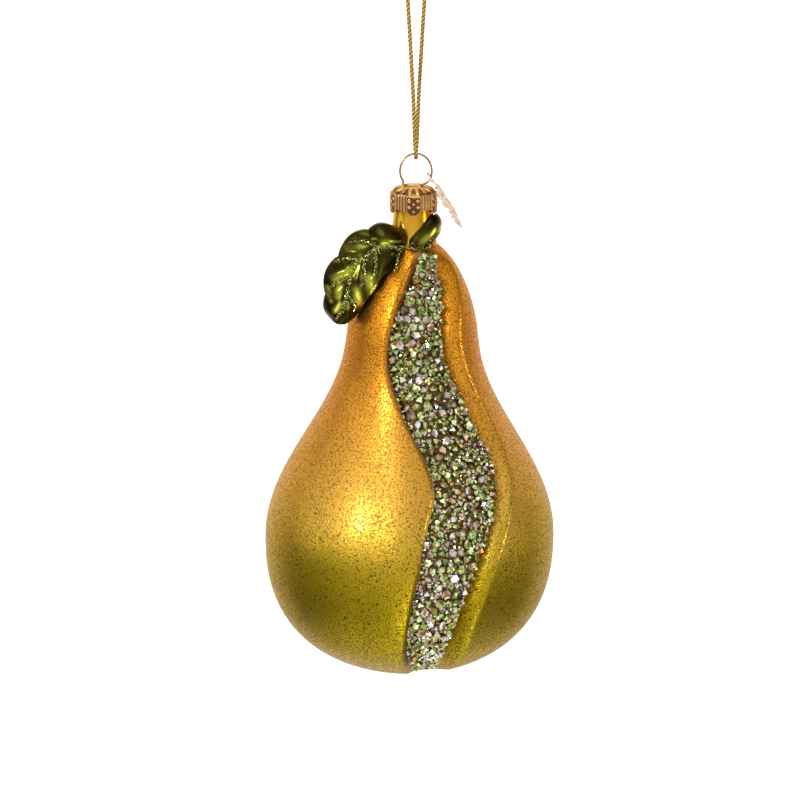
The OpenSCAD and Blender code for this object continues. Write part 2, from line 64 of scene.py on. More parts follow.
def curve(x: float, table: Table) -> float:
    """Reads a smooth curve through a table.

    Args:
        x: Key to read at.
        table: Rows of (key, value) in rising order.

    Returns:
        The value at that key, held at the ends.
    """
    i = 0
    while i < len(table) - 2 and x > table[i + 1][0]:
        i += 1
    a, b, c, d = (table[max(0, min(len(table) - 1, k))] for k in (i - 1, i, i + 1, i + 2))
    wide = c[0] - b[0]
    t = min(1.0, max(0.0, (x - b[0]) / wide))
    mb = (c[1] - a[1]) / (c[0] - a[0]) * wide
    mc = (d[1] - b[1]) / (d[0] - b[0]) * wide
    return (
        b[1] * (1 + 2 * t) * (1 - t) ** 2
        + mb * t * (1 - t) ** 2
        + c[1] * t * t * (3 - 2 * t)
        + mc * t * t * (t - 1)
    )


def through(points: Sequence[Vector], u: float) -> Vector:
    """Reads a smooth line through points.

    Args:
        points: Points that the line passes.
        u: Whole-number step plus a fraction.

    Returns:
        The point there.
    """
    n = len(points) - 1
    i = min(n - 1, int(u))
    t = u - i
    b, c = points[i], points[i + 1]
    a = points[i - 1] if i > 0 else 2 * b - c
    d = points[i + 2] if i + 2 <= n else 2 * c - b
    return 0.5 * (2 * b + (c - a) * t + (2 * a - 5 * b + 4 * c - d) * t**2 + (3 * b - 3 * c + d - a) * t**3)


def evenly(points: Sequence[Vector], step: float) -> list[Vector]:
    """Spaces points evenly along a smooth line.

    Args:
        points: Points that the line passes.
        step: Wanted distance between two points.

    Returns:
        Points along the line, with both its ends.
    """
    fine = [through(points, k / 24) for k in range(24 * (len(points) - 1) + 1)]
    run = np.concatenate([[0.0], np.cumsum([(q - p).length for p, q in zip(fine, fine[1:])])])
    count = max(2, round(run[-1] / step))
    cols = [np.interp(np.linspace(0, run[-1], count + 1), run, [p[k] for p in fine]) for k in range(3)]
    return [Vector(p) for p in zip(*cols)]


def srgb(code: str) -> tuple[float, float, float, float]:
    """Turns a colour code into linear light.

    Args:
        code: Six hexadecimal digits, such as c08a30.

    Returns:
        Red, green, blue and full opacity.
    """
    parts = [int(code[k : k + 2], 16) / 255 for k in (0, 2, 4)]
    r, g, b = (p / 12.92 if p <= 0.04045 else ((p + 0.055) / 1.055) ** 2.4 for p in parts)
    return (r, g, b, 1.0)


class Socket:
    """A shader value that takes part in Python arithmetic."""

    def __init__(self, shade: Nodes, link: bpy.types.NodeSocket) -> None:
        """Wraps an output socket."""
        self.shade, self.link = shade, link

    def also(self, name: str) -> Socket:
        """Gives another output of the same node."""
        return Socket(self.shade, self.link.node.outputs[name])

    def _math(self, operation: str, first: Any, second: Any) -> Socket:
        """Adds one Math node."""
        return self.shade.node("ShaderNodeMath", {"operation": operation}, {0: first, 1: second})

    def __add__(self, other: Any) -> Socket:
        """Adds."""
        return self._math("ADD", self, other)

    __radd__ = __add__

    def __sub__(self, other: Any) -> Socket:
        """Subtracts."""
        return self._math("SUBTRACT", self, other)

    def __rsub__(self, other: Any) -> Socket:
        """Subtracts from a number."""
        return self._math("SUBTRACT", other, self)

    def __mul__(self, other: Any) -> Socket:
        """Multiplies."""
        return self._math("MULTIPLY", self, other)

    __rmul__ = __mul__

    def __truediv__(self, other: Any) -> Socket:
        """Divides."""
        return self._math("DIVIDE", self, other)

    def __rtruediv__(self, other: Any) -> Socket:
        """Divides a number."""
        return self._math("DIVIDE", other, self)

    def __lt__(self, other: Any) -> Socket:
        """Gives 1 where the value is below another."""
        return self._math("LESS_THAN", self, other)

    def __gt__(self, other: Any) -> Socket:
        """Gives 1 where the value is above another."""
        return self._math("GREATER_THAN", self, other)


class Nodes:
    """A node tree with the calls that add to it."""

    def __init__(self, tree: bpy.types.NodeTree) -> None:
        """Takes a tree up."""
        self.tree = tree

    def node(
        self,
        kind: str,
        settings: dict[str, Any] | None = None,
        inputs: dict[int | str, Any] | None = None,
        output: int | str = 0,
    ) -> Socket:
        """Adds one node.

        Args:
            kind: Node type.
            settings: Settings of the node, with "stops" for a ramp's rows of (position, colour).
            inputs: Numbers, colours or sockets by socket name or number.
            output: Output to hand back.

        Returns:
            The wrapped output.
        """
        made = self.tree.nodes.new(kind)
        for key, value in (settings or {}).items():
            if key == "stops":
                self._stops(made.color_ramp, value)
            else:
                setattr(made, key, value)
        for key, value in (inputs or {}).items():
            self.feed(made.inputs[key], value)
        return Socket(self, made.outputs[output])

    @staticmethod
    def _stops(ramp: bpy.types.ColorRamp, stops: Sequence[tuple[float, Sequence[float]]]) -> None:
        """Sets the stops of a ramp.

        Args:
            ramp: The ramp.
            stops: Rows of (position, colour).
        """
        while len(ramp.elements) < len(stops):
            ramp.elements.new(1.0)
        for element, (position, colour) in zip(ramp.elements, stops):
            element.position, element.color = position, colour

    def feed(self, socket: bpy.types.NodeSocket, value: Any) -> None:
        """Links a wrapped socket or sets a value.

        Args:
            socket: Input to feed.
            value: Wrapped socket, number or colour.
        """
        if isinstance(value, Socket):
            self.tree.links.new(value.link, socket)
        else:
            socket.default_value = value

    def ramp(self, factor: Socket, stops: Sequence[tuple[float, Sequence[float]]]) -> Socket:
        """Colours a value by stops."""
        return self.node("ShaderNodeValToRGB", {"stops": stops}, {0: factor})

    def mix(self, factor: Any, first: Any, second: Any, blend: str = "MIX") -> Socket:
        """Mixes two colours.

        Args:
            factor: Share of the second colour.
            first: Colour or socket below.
            second: Colour or socket above.
            blend: How they are put together.

        Returns:
            The mixed colour.
        """
        return self.node(
            "ShaderNodeMix",
            {"data_type": "RGBA", "blend_type": blend},
            {0: factor, 6: first, 7: second},
            output=2,
        )

    def share(self, value: Socket, low: float, high: float, most: float = 1.0) -> Socket:
        """Gives how far a value has come between two bounds.

        Args:
            value: The value.
            low: Bound that gives 0.
            high: Bound that gives the most.
            most: Largest result.

        Returns:
            The eased result.
        """
        return self.node(
            "ShaderNodeMapRange",
            {"interpolation_type": "SMOOTHSTEP"},
            {"Value": value, "From Min": low, "From Max": high, "To Max": most},
        )


class Shade(Nodes):
    """One material's node tree."""

    def __init__(self, name: str) -> None:
        """Starts a material with a bare Principled surface.

        Args:
            name: Name of the material.
        """
        self.material = bpy.data.materials.new(name)
        self.material.use_nodes = True
        super().__init__(self.material.node_tree)
        self.surface = next(n for n in self.tree.nodes if n.type == "BSDF_PRINCIPLED")

    def set(self, **values: Any) -> None:
        """Sets or links sockets of the surface, with spaces written as underscores."""
        for key, value in values.items():
            self.feed(self.surface.inputs[key.replace("_", " ")], value)

    def place(self) -> Socket:
        """Gives the place on the piece in metres."""
        return self.node("ShaderNodeTexCoord", output="Object")

    def noise(self, scale: float, detail: float = 2.0, roughness: float = 0.5) -> Socket:
        """Adds a noise pattern over the piece.

        Args:
            scale: Waves in a metre.
            detail: Number of finer layers.
            roughness: Strength of the finer layers.

        Returns:
            The pattern, from 0 to 1.
        """
        return self.node(
            "ShaderNodeTexNoise",
            inputs={"Vector": self.place(), "Scale": scale, "Detail": detail, "Roughness": roughness},
        )

    def cells(self, scale: float, output: str = "Distance") -> Socket:
        """Adds a cell pattern over the piece."""
        at = {"Vector": self.place(), "Scale": scale}
        return self.node("ShaderNodeTexVoronoi", inputs=at, output=output)

    def attribute(self, name: str, output: str = "Color") -> Socket:
        """Reads one of the piece's own attributes."""
        return self.node("ShaderNodeAttribute", {"attribute_name": name}, output=output)

    def bump(self, height: Socket, strength: float, depth: float) -> None:
        """Drives the surface's normal from a height.

        Args:
            height: Height pattern from 0 to 1.
            strength: Share of the effect.
            depth: Depth of the pattern in metres.
        """
        relief = {"Strength": strength, "Distance": depth, "Height": height}
        self.set(Normal=self.node("ShaderNodeBump", inputs=relief))


@dataclass(frozen=True)
class PearSkin:
    """Grained metallic lacquer that runs from olive at the base to amber at the shoulders."""

    low_z: float
    high_z: float
    grain: float = 2150.0
    grain_depth: float = 0.00004
    # Rows of (share of the height, colour), and below of (share of the height, metal).
    tones: Sequence[tuple[float, str]] = (
        (0.0, "a2860c"), (0.2, "b69c0c"), (0.33, "c8a812"), (0.46, "dea82a"), (0.62, "e29a1a"),
        (0.82, "e4961a"), (1.0, "e2961c"),
    )
    shine: Table = ((0.0, 0.97), (0.3, 0.95), (0.42, 0.79), (0.62, 0.81), (0.8, 0.92), (1.0, 0.96))
    side_lean: float = 0.3
    drift_scale: float = 26.0
    drift: float = 0.16
    # Painted shade in the grain's low spots and painted light on its crests, multiplied into the tone.
    painted_grain_light: Sequence[tuple[float, Sequence[float]]] = (
        (0.42, (0.35, 0.28, 0.14, 1)), (0.64, (1, 1, 1, 1)), (0.9, (1.35, 1.35, 1.4, 1)),
    )
    roughness: float = 0.46
    polish: float = 0.26
    # Painted shade in the cleft: its colour, and how much it dulls the metal there.
    crease_painted_shade_tone: str = "b87a1a"
    crease_painted_shade_dulling: float = 0.65
    pit_tone: str = "2a2006"
    # Rows of (cells in a metre, size in a cell, share of cells without a pit).
    pits: Sequence[tuple[float, float, float]] = ((230.0, 0.07, 0.5), (640.0, 0.2, 0.45))

    def material(self) -> bpy.types.Material:
        """Makes the lacquer.

        Returns:
            The material.
        """
        s = Shade("pear_lacquer")
        spot = s.node("ShaderNodeSeparateXYZ", inputs={0: s.place()})
        drift = s.noise(self.drift_scale, 3.0)
        height = (spot.also("Z") - self.low_z) / (self.high_z - self.low_z)
        height = height - spot.also("X") * self.side_lean + (drift - 0.5) * self.drift
        tone = s.ramp(height, [(k, srgb(code)) for k, code in self.tones])
        grain = s.noise(self.grain, 0.7, 0.5)
        cell = s.node(
            "ShaderNodeTexVoronoi",
            {"feature": "SMOOTH_F1"},
            {"Vector": s.place(), "Scale": self.grain * 1.25, "Smoothness": 0.35},
            output="Distance",
        )
        hill = grain * 1.05 + (0.8 - cell) * 0.42
        # Painted grain light: darker in the grain's low spots, lighter on its crests.
        tone = s.mix(0.9, tone, s.ramp(hill, self.painted_grain_light), "MULTIPLY")
        for scale, size, least in self.pits:
            draw = s.node("ShaderNodeSeparateColor", inputs={0: s.cells(scale, "Color")})
            pit = (s.cells(scale) < size) * (draw > least) * s.share(height, 0.75, 0.3, 0.8)
            tone = s.mix(pit, tone, srgb(self.pit_tone))
        # Painted shade: the cleft's walls and floor are painted a duller brown that stands for the shade in
        # the crease.
        crease_painted_shade = s.attribute("hollow", "Fac")
        shine = s.ramp(height, [(k, (v, v, v, 1)) for k, v in self.shine])
        s.set(
            Base_Color=s.mix(crease_painted_shade, tone, srgb(self.crease_painted_shade_tone)),
            Metallic=shine * (1.0 - crease_painted_shade * self.crease_painted_shade_dulling),
            Roughness=self.roughness - s.share(hill, 0.6, 0.86, self.polish),
            IOR=2.5,
            Specular_Tint=(1.0, 0.94, 0.8, 1.0),
            Sheen_Weight=0.3,
            Sheen_Roughness=0.3,
        )
        s.bump(s.share(hill, 0.38, 0.8), 1.0, self.grain_depth)
        return s.material


@dataclass(frozen=True)
class Lacquer:
    """Glossy coloured lacquer over silvered glass."""

    name: str
    dark: str
    light: str
    spread: float
    metallic: float
    roughness: float
    # Colour of painted highlights, laid on by the piece's own attribute.
    painted_highlight: str = ""

    def material(self) -> bpy.types.Material:
        """Makes the lacquer.

        Returns:
            The material.
        """
        s = Shade(self.name)
        drift = s.noise(self.spread, 3.0)
        tone = s.ramp(drift, [(0.35, srgb(self.dark)), (0.68, srgb(self.light))])
        speck = s.noise(2400.0, 2.0)
        # Painted highlights: lime mixed in where the leaf would catch the light.
        if self.painted_highlight:
            tone = s.mix(s.attribute("painted_highlight", "Fac"), tone, srgb(self.painted_highlight))
        cloud = s.ramp(speck, [(0.3, (0.4, 0.4, 0.4, 1)), (0.7, (1.2, 1.2, 1.2, 1))])
        s.set(
            Base_Color=s.mix(0.25, tone, cloud, "MULTIPLY"),
            Metallic=self.metallic,
            Roughness=self.roughness + 0.1 * speck,
        )
        s.bump(s.noise(420.0, 3.0), 0.12, 0.0004)
        return s.material


@dataclass(frozen=True)
class Metal:
    """Stamped or drawn metal with patina where its relief lies low, and on the cap painted shade in its slot.
    """

    name: str
    tone: str
    patina: str
    roughness: float
    relief: bool = False

    def material(self) -> bpy.types.Material:
        """Makes the metal.

        Returns:
            The material.
        """
        s = Shade(self.name)
        drift = s.noise(900.0, 3.0)
        tone = s.mix(drift * 0.35, srgb(self.tone), srgb(self.patina))
        if self.relief:
            tone = s.mix(s.attribute("hollow", "Fac"), tone, srgb(self.patina))
        s.set(Base_Color=tone, Metallic=0.95, Roughness=self.roughness + 0.18 * drift)
        s.bump(s.noise(1400.0, 2.0), 0.3, 0.00015)
        return s.material


@dataclass(frozen=True)
class Thread:
    """Metallic gold thread."""
    # Metallic gold thread, with painted shade between its plies.

    name: str = "gold_thread"

    def material(self) -> bpy.types.Material:
        """Makes the thread.

        Returns:
            The material.
        """
        s = Shade(self.name)
        fibre = s.noise(5200.0, 3.0)
        tone = s.ramp(fibre, [(0.25, srgb("b88418")), (0.5, srgb("f2bc40")), (0.75, srgb("fff0a8"))])
        # Painted shade: dark where the plies sink towards the cord's middle.
        tone = s.mix(s.attribute("hollow", "Fac"), tone, srgb("180a00"))
        s.set(Base_Color=tone, Metallic=0.55, Roughness=0.34 + 0.2 * fibre, Sheen_Weight=0.2)
        s.bump(fibre, 0.5, 0.00015)
        return s.material


@dataclass(frozen=True)
class Jewel:
    """Foil-backed cut glass whose facets each hold a tint; on the stones these tints are painted highlights,
    shade and reflections.
    """

    name: str
    metallic: float = 0.55

    def material(self) -> bpy.types.Material:
        """Makes the glass.

        Returns:
            The material.
        """
        s = Shade(self.name)
        cloud = s.noise(1500.0, 2.0)
        shade = s.ramp(cloud, [(0.3, (0.5, 0.5, 0.5, 1)), (0.7, (1.3, 1.3, 1.3, 1))])
        s.set(
            Base_Color=s.mix(0.3, s.attribute("facet"), shade, "MULTIPLY"),
            Metallic=self.metallic,
            Roughness=0.06 + 0.06 * cloud,
            IOR=1.6,
            Coat_Weight=0.35,
            Coat_Roughness=0.02,
        )
        return s.material


@dataclass(frozen=True)
class Glue:
    """Amber glue with gold grains, in which the stones sit."""

    name: str = "amber_glue"

    def material(self) -> bpy.types.Material:
        """Makes the glue.

        Returns:
            The material.
        """
        s = Shade(self.name)
        grain = s.noise(1700.0, 3.0)
        # Amber glue whose dark tones also stand as painted shade in the gaps between the stones.
        tone = s.ramp(grain, [(0.3, srgb("2a1a04")), (0.55, srgb("80540e")), (0.75, srgb("d09a30"))])
        s.set(Base_Color=tone, Metallic=0.45, Roughness=0.25 + 0.3 * grain, Coat_Weight=0.4)
        s.bump(grain, 0.6, 0.0004)
        return s.material


class Shading(Enum):
    """How a piece's faces meet in the light."""

    SMOOTH = True
    FACETED = False


def piece(
    bm: bmesh.types.BMesh,
    name: str,
    finish: bpy.types.Material,
    body: str,
    stands_for: Sequence[str] = (),
    shading: Shading = Shading.SMOOTH,
) -> bpy.types.Object:
    """Makes a finished piece out of a mesh under work.

    Args:
        bm: Mesh in metres in the part's frame; it is freed.
        name: Name of the piece.
        finish: Its material.
        body: Body that it rides on.
        stands_for: Nodes that it replaces.
        shading: Smooth or faceted faces.

    Returns:
        The new object.
    """
    data = bpy.data.meshes.new(name)
    bm.to_mesh(data)
    bm.free()
    data.polygons.foreach_set("use_smooth", [shading.value] * len(data.polygons))
    data.materials.append(finish)
    made = bpy.data.objects.new(name, data)
    bpy.context.scene.collection.objects.link(made)
    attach(made, body)
    if stands_for:
        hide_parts(*stands_for)
    LOG.info("%s: %d faces", name, len(data.polygons))
    return made


def wrapped(
    bm: bmesh.types.BMesh,
    columns: int,
    rows: int,
    place: Place,
    hollow: Callable[[float, float], float] | None = None,
) -> None:
    """Adds a grid and moves each of its points on to a form.

    Args:
        bm: Mesh to add to.
        columns: Number of steps across.
        rows: Number of steps along.
        place: Point in millimetres for shares across and along.
        hollow: How deep in a hollow a point lies, for shares across and along, kept as the hollow attribute
            that the pear's lacquer turns into painted shade.
    """
    layer = bm.verts.layers.float.new("hollow") if hollow else None
    for v in bmesh.ops.create_grid(bm, x_segments=columns, y_segments=rows, size=0.5)["verts"]:
        across, along = v.co.x + 0.5, v.co.y + 0.5
        v.co = place(across, along) * MM
        if hollow:
            v[layer] = hollow(across, along)


def slab(columns: int, rows: int, back: Place, front: Place) -> bmesh.types.BMesh:
    """Joins a back and a front sheet into a closed blade.

    Args:
        columns: Steps across.
        rows: Steps along.
        back: Points of the back.
        front: Points of the front.

    Returns:
        The blade's mesh.
    """
    bm = bmesh.new()
    for place in (back, front):
        wrapped(bm, columns, rows, place)
    bmesh.ops.bridge_loops(bm, edges=[e for e in bm.edges if e.is_boundary])
    bmesh.ops.recalc_face_normals(bm, faces=bm.faces)
    return bm


def close_up(bm: bmesh.types.BMesh, gap: float = 1e-6) -> None:
    """Merges doubles and turns the faces outwards."""
    bmesh.ops.remove_doubles(bm, verts=bm.verts, dist=gap)
    bmesh.ops.recalc_face_normals(bm, faces=bm.faces)


def frames_along(path: Sequence[Vector]) -> list[tuple[Vector, Vector, Vector]]:
    """Gives untwisted axes along a line.

    Args:
        path: Points of the line.

    Returns:
        Rows of (along, side, other side).
    """
    side, rows = Vector((0.31, 0.94, 0.12)), []
    for k in range(len(path)):
        along = (path[min(len(path) - 1, k + 1)] - path[max(0, k - 1)]).normalized()
        side = (side - along * side.dot(along)).normalized()
        rows.append((along, side.copy(), along.cross(side)))
    return rows


def sweep(bm: bmesh.types.BMesh, path: Sequence[Vector], radius: float, sides: int = 10) -> None:
    """Adds a closed round bar along a line.

    Args:
        bm: Mesh to add to.
        path: Points of the line in millimetres.
        radius: Radius in millimetres.
        sides: Number of sides.
    """
    axes = frames_along(path)
    ring = bmesh.ops.create_circle(bm, cap_ends=True, segments=sides, radius=1.0)["verts"]
    for k, (point, (_, side, other)) in enumerate(zip(path, axes)):
        if k:
            free = dict.fromkeys(e for v in ring for e in v.link_edges if len(e.link_faces) < 2)
            edges = [e for e in free if all(v in ring for v in e.verts)]
            grown = bmesh.ops.extrude_edge_only(bm, edges=edges)["geom"]
            new = [g for g in grown if isinstance(g, bmesh.types.BMVert)]
            pairs = {v: next(e.other_vert(v) for e in v.link_edges if e.other_vert(v) in ring) for v in new}
            order = {v: i for i, v in enumerate(ring)}
            ring = sorted(new, key=lambda v: order[pairs[v]])
        for i, v in enumerate(ring):
            a = 2 * math.pi * i / sides
            v.co = (point + radius * (math.cos(a) * side + math.sin(a) * other)) * MM
    bmesh.ops.contextual_create(bm, geom=ring)


@dataclass(frozen=True)
class PearForm:
    """Outline of the pear and its cleft, in millimetres."""

    belly_d: float = 74.5
    belly_z: float = 34.8
    base_power: float = 2.4
    upper_d: float = 34.0
    waist_h: float = 54.0
    upper_h: float = 49.0
    dome_h: float = 31.0
    dome_power: float = 1.65
    lean: float = 1.4
    foot_d: float = 12.0
    foot_z: float = -90.4
    axis_x: float = -0.6
    stem_d: float = 10.8
    cleft_depth: float = 3.2
    left_side: float = 2.6
    right_side: float = 5.0
    left_lip: float = 1.0
    right_lip: float = 0.8
    lip_fade: float = 11.0
    bed_h: float = 1.5
    bed_least: float = 0.35
    flare_h: float = 3.0
    base_run: float = 5.0
    top_run: float = 7.0
    pole_turn: float = 88.0
    most_round: float = 0.75
    least_w: float = 0.4
    most_sine: float = 0.6
    band_full_h: float = 112.0
    # The rows of these tables hold a height above the base and a distance.
    band_line: Table = (
        (-10, 3.5), (0, 3.8), (14, 5), (34, 8.8), (55, 13.5), (73, 7), (89, 1.7), (105, 3.6), (118, 3.2),
    )
    band_half: Table = (
        (-10, 0.5), (0, 1), (6, 3.2), (15, 5.5), (35, 7.9), (77, 9), (95, 6.5), (104, 4.2), (110, 1.9),
        (118, 0.6),
    )
    overhang: Table = (
        (0, 0), (10, 1.6), (28, 3.2), (36, 3.6), (42, 2.7), (48, 2.6), (55, 3.4), (61, 3.2), (67, 2.8),
        (73, 2.2), (80, 1.8), (92, 2.4), (104, 0.8), (112, 0),
    )
    right_in: Table = (
        (0, 0), (14, 0.4), (22, 0.9), (30, 0.3), (40, -0.4), (54, -1.1), (62, -1.0), (68, -0.3), (74, 1.0),
        (80, 1.9), (88, 1.5), (96, 0.5), (112, 0),
    )
    gap: Table = (
        (0, 0), (12, 0.5), (28, 0.7), (42, 0.5), (54, 0.5), (68, 0.4), (80, 0.3), (95, 0.2), (112, 0),
    )

    @property
    def height(self) -> float:
        """Height from base to stem."""
        share = math.sqrt(1 - (self.foot_d / self.upper_d) ** self.dome_power)
        return self.belly_z + self.upper_h + self.dome_h * share

    @property
    def base_z(self) -> float:
        """Height of the base in the part's frame."""
        return self.foot_z - self.height

    def upper_r(self, z: float) -> float:
        """Radius of the upper half at a height above the base.

        Args:
            z: Height above the base.

        Returns:
            The radius.
        """
        fall = min(1.0, (z - self.belly_z) / self.waist_h)
        up = max(0.0, (z - self.belly_z - self.upper_h) / self.dome_h)
        wide = self.upper_d + (self.belly_d - self.upper_d) * (1 + math.cos(math.pi * fall)) / 2
        return wide / 2 * max(0.0, 1 - up * up) ** (1 / self.dome_power)

    def outline(self, q: float) -> tuple[float, float]:
        """Gives a point of the outline.

        Args:
            q: Place up the outline, 0 to 1 round the base and 1 to 2 up to the stem.

        Returns:
            Radius and height above the base.
        """
        if q <= 1:
            a, e = math.radians(self.pole_turn * (1 - q)), 2 / self.base_power
            return self.belly_d / 2 * math.cos(a) ** e, self.belly_z * (1 - math.sin(a) ** e)
        t = q - 1
        z = self.belly_z + (self.height - self.belly_z) * (t + math.sin(math.pi / 2 * t)) / 2
        return self.upper_r(z), z

    def normal(self, q: float) -> tuple[float, float]:
        """Outward direction of the outline.

        Args:
            q: Place up the outline.

        Returns:
            Its share outwards and its share upwards.
        """
        a, b = self.outline(max(0.0, q - 0.01)), self.outline(min(2.0, q + 0.01))
        run = math.hypot(b[0] - a[0], b[1] - a[1])
        return (b[1] - a[1]) / run, -(b[0] - a[0]) / run

    def body_r(self, z: float) -> float:
        """Radius of pear or stem at a height above the base.

        Args:
            z: Height above the base.

        Returns:
            The radius.
        """
        if z >= self.height:
            return self.stem_r(z - self.height)
        if z >= self.belly_z:
            return self.upper_r(z)
        share = max(0.0, 1 - (1 - z / self.belly_z) ** self.base_power)
        return self.belly_d / 2 * share ** (1 / self.base_power)

    def stem_r(self, h: float) -> float:
        """Radius of the stem at a height above its foot."""
        return self.stem_d / 2 + (self.foot_d - self.stem_d) / 2 * (1 - smooth(h / self.flare_h))

    def axis_at(self, z: float) -> float:
        """Sideways place of the axis at a height above the base."""
        return self.axis_x - self.lean * (1 - z / self.height)

    def cleft_run(self, z: float) -> float:
        """Share of the cleft's full depth at a height above the base."""
        return smooth(z / self.base_run) * smooth((self.height - z) / self.top_run)

    def band_w(self, z: float) -> float:
        """Half width of the jewelled band at a height above the base."""
        return max(self.least_w, curve(z * self.band_full_h / self.height, self.band_half))

    def band_angle(self, r: float, z: float) -> float:
        """Angle of the band's middle from the front."""
        off = curve(z * self.band_full_h / self.height, self.band_line)
        return math.asin(min(self.most_sine, off / max(r, 0.01)))

    def skin(self, q: float, d: float, h: float) -> Vector:
        """Gives a point on or near the skin.

        Args:
            q: Place up the outline.
            d: Distance round the pear from the band's middle.
            h: Distance off the outline.

        Returns:
            The point in the part's frame.
        """
        r0, z = self.outline(q)
        n = self.normal(q)
        a = self.band_angle(r0, z) + d / r0
        r = r0 + h * n[0]
        return Vector((self.axis_at(z) + r * math.sin(a), -r * math.cos(a), self.base_z + z + h * n[1]))

    def beside_gap(self, z: float, d: float) -> float:
        """Draws a place on the floor to the right, clear of the gap under the left lip."""
        w, right = self.band_w(z), curve(z, self.right_in)
        return w - right - (w - d) * (1 - (curve(z, self.gap) + right) / (2 * w))

    def bed_run(self, q: float) -> float:
        """Share of the bed's full thickness."""
        return self.bed_least + (1 - self.bed_least) * self.cleft_run(self.outline(q)[1])

    def floor_h(self, q: float) -> float:
        """Height of the cleft's floor off the outline."""
        return -self.cleft_depth * self.cleft_run(self.outline(q)[1])

    def squeeze(self, r: float, w: float) -> float:
        """Share of the cleft's full width that a narrow part of the pear has room for."""
        wide = 2 * w + self.left_side + self.right_side + 2 * self.lip_fade
        return min(1.0, self.most_round * 2 * math.pi * r / wide)

    def reach(self, q: float) -> dict[str, float]:
        """Gives the places round the pear where the cleft's parts begin and end.

        Args:
            q: Place up the outline.

        Returns:
            Distances round from the band's middle by name.
        """
        r0, z = self.outline(q)
        w = self.band_w(z)
        k = self.squeeze(r0, w)
        left, right = -(w + self.left_side) * k, (w + self.right_side) * k
        shift = curve(z, self.right_in) * k
        return {
            "turn": 2 * math.pi * r0,
            "fade_left": left - self.lip_fade * k,
            "lip_left": left,
            "floor_left": -w * k,
            "floor_right": w * k - shift,
            "lip_right": right - shift,
            "fade_right": right + self.lip_fade * k,
            "lean_over": curve(z, self.overhang) * k,
        }


class Stretch(Enum):
    """Stretches of the skin round the pear, with the steps that each gets."""

    FADE_LEFT = 12
    LEFT_WALL = 11
    FLOOR = 8
    RIGHT_WALL = 14
    FADE_RIGHT = 13
    BACK = 111

    @classmethod
    def at(cls, share: float) -> tuple[Stretch, float]:
        """Finds a stretch.

        Args:
            share: Share of all the steps from the left fade on.

        Returns:
            The stretch there and the share of it that is passed.
        """
        column = share * sum(s.value for s in cls)
        for stretch in cls:
            if column <= stretch.value or stretch is cls.BACK:
                break
            column -= stretch.value
        return stretch, column / stretch.value


@dataclass
class PearShell:
    """The hollow pear with its cleft."""

    form: PearForm
    base_rows: int = 70
    upper_rows: int = 170
    skin: PearSkin = field(init=False)

    def __post_init__(self) -> None:
        """Fits the lacquer's run of colour to the pear."""
        self.skin = PearSkin(self.form.base_z * MM, self.form.foot_z * MM)

    def _station(self, q: float, share: float) -> tuple[float, float]:
        """Gives the place round and stand-off of one column.

        Args:
            q: Place up the outline.
            share: Share of the columns from the left fade on.

        Returns:
            Distance round from the band's middle, and height off the outline.
        """
        f = self.form
        at = f.reach(q)
        z = f.outline(q)[1]
        run = f.cleft_run(z)
        lip = run * smooth(z / 14)
        low, high_l, high_r = -f.cleft_depth * run, f.left_lip * lip, f.right_lip * lip
        stretch, t = Stretch.at(share)
        if stretch is Stretch.FADE_LEFT:
            d = at["fade_left"] + (at["lip_left"] - at["fade_left"]) * t
            return d + at["lean_over"] * t * t, high_l * smooth(t)
        if stretch is Stretch.LEFT_WALL:
            d = at["lip_left"] + (at["floor_left"] - at["lip_left"]) * t
            return d + at["lean_over"] * (1 - t) ** 1.5, high_l + (low - high_l) * (0.7 * smooth(t) + 0.3 * t)
        if stretch is Stretch.FLOOR:
            return at["floor_left"] + (at["floor_right"] - at["floor_left"]) * t, low
        if stretch is Stretch.RIGHT_WALL:
            d = at["floor_right"] + (at["lip_right"] - at["floor_right"]) * t
            return d, low + (high_r - low) * (0.5 * smooth(t) + 0.5 * t)
        if stretch is Stretch.FADE_RIGHT:
            return at["lip_right"] + (at["fade_right"] - at["lip_right"]) * t, high_r * (1 - t) ** 2
        return at["fade_right"] + (at["turn"] + at["fade_left"] - at["fade_right"]) * t, 0.0

    def _place(self, across: float, along: float) -> Vector:
        """Gives a point of the skin.

        Args:
            across: Share of the columns from the left fade on.
            along: Share of the rows from the base on.

        Returns:
            The point in the part's frame.
        """
        turn = self.base_rows / (self.base_rows + self.upper_rows)
        q = along / turn if along <= turn else 1 + (along - turn) / (1 - turn)
        return self.form.skin(q, *self._station(q, across))

    @staticmethod
    def _crease_painted_shade(across: float, along: float) -> float:
        """Gives the painted shade of a column, by how deep it lies in the cleft.

        Args:
            across: Share of the columns from the left fade on.
            along: Share up the pear, all of which is alike.

        Returns:
            0 on the open skin and 1 on the cleft's floor.
        """
        stretch, t = Stretch.at(across)
        if stretch is Stretch.LEFT_WALL:
            return smooth(t / 0.6)
        if stretch is Stretch.FLOOR:
            return 1.0
        return smooth(1 - t / 0.3) if stretch is Stretch.RIGHT_WALL else 0.0

    def build(self) -> bpy.types.Object:
        """Makes the pear.

        Returns:
            The piece.
        """
        bm = bmesh.new()
        columns, rows = sum(s.value for s in Stretch), self.base_rows + self.upper_rows
        wrapped(bm, columns, rows, self._place, self._crease_painted_shade)
        bmesh.ops.remove_doubles(bm, verts=bm.verts, dist=1e-6)
        bmesh.ops.holes_fill(bm, edges=[e for e in bm.edges if e.is_boundary])
        bmesh.ops.recalc_face_normals(bm, faces=bm.faces)
        return piece(bm, "pear", self.skin.material(), "pear", ["pear_shell"])


@dataclass
class Stone:
    """One set stone: its middle, axis and radius in metres."""

    middle: Vector
    axis: Vector
    radius: float


class StoneColour(Enum):
    """Colours of the stones, with their node, slot and the range of their tints, from painted shade to
    painted highlight.
    """

    GREEN = ("green_crystals", "peridot", ("060c00", "789828", "f4ffc0"))
    CLEAR = ("clear_crystals", "clear_stone", ("0c0804", "ccb09a", "fffaf2"))
    SMOKY = ("smoky_crystals", "smoky_stone", ("040302", "3c2c22", "ecdcd0"))


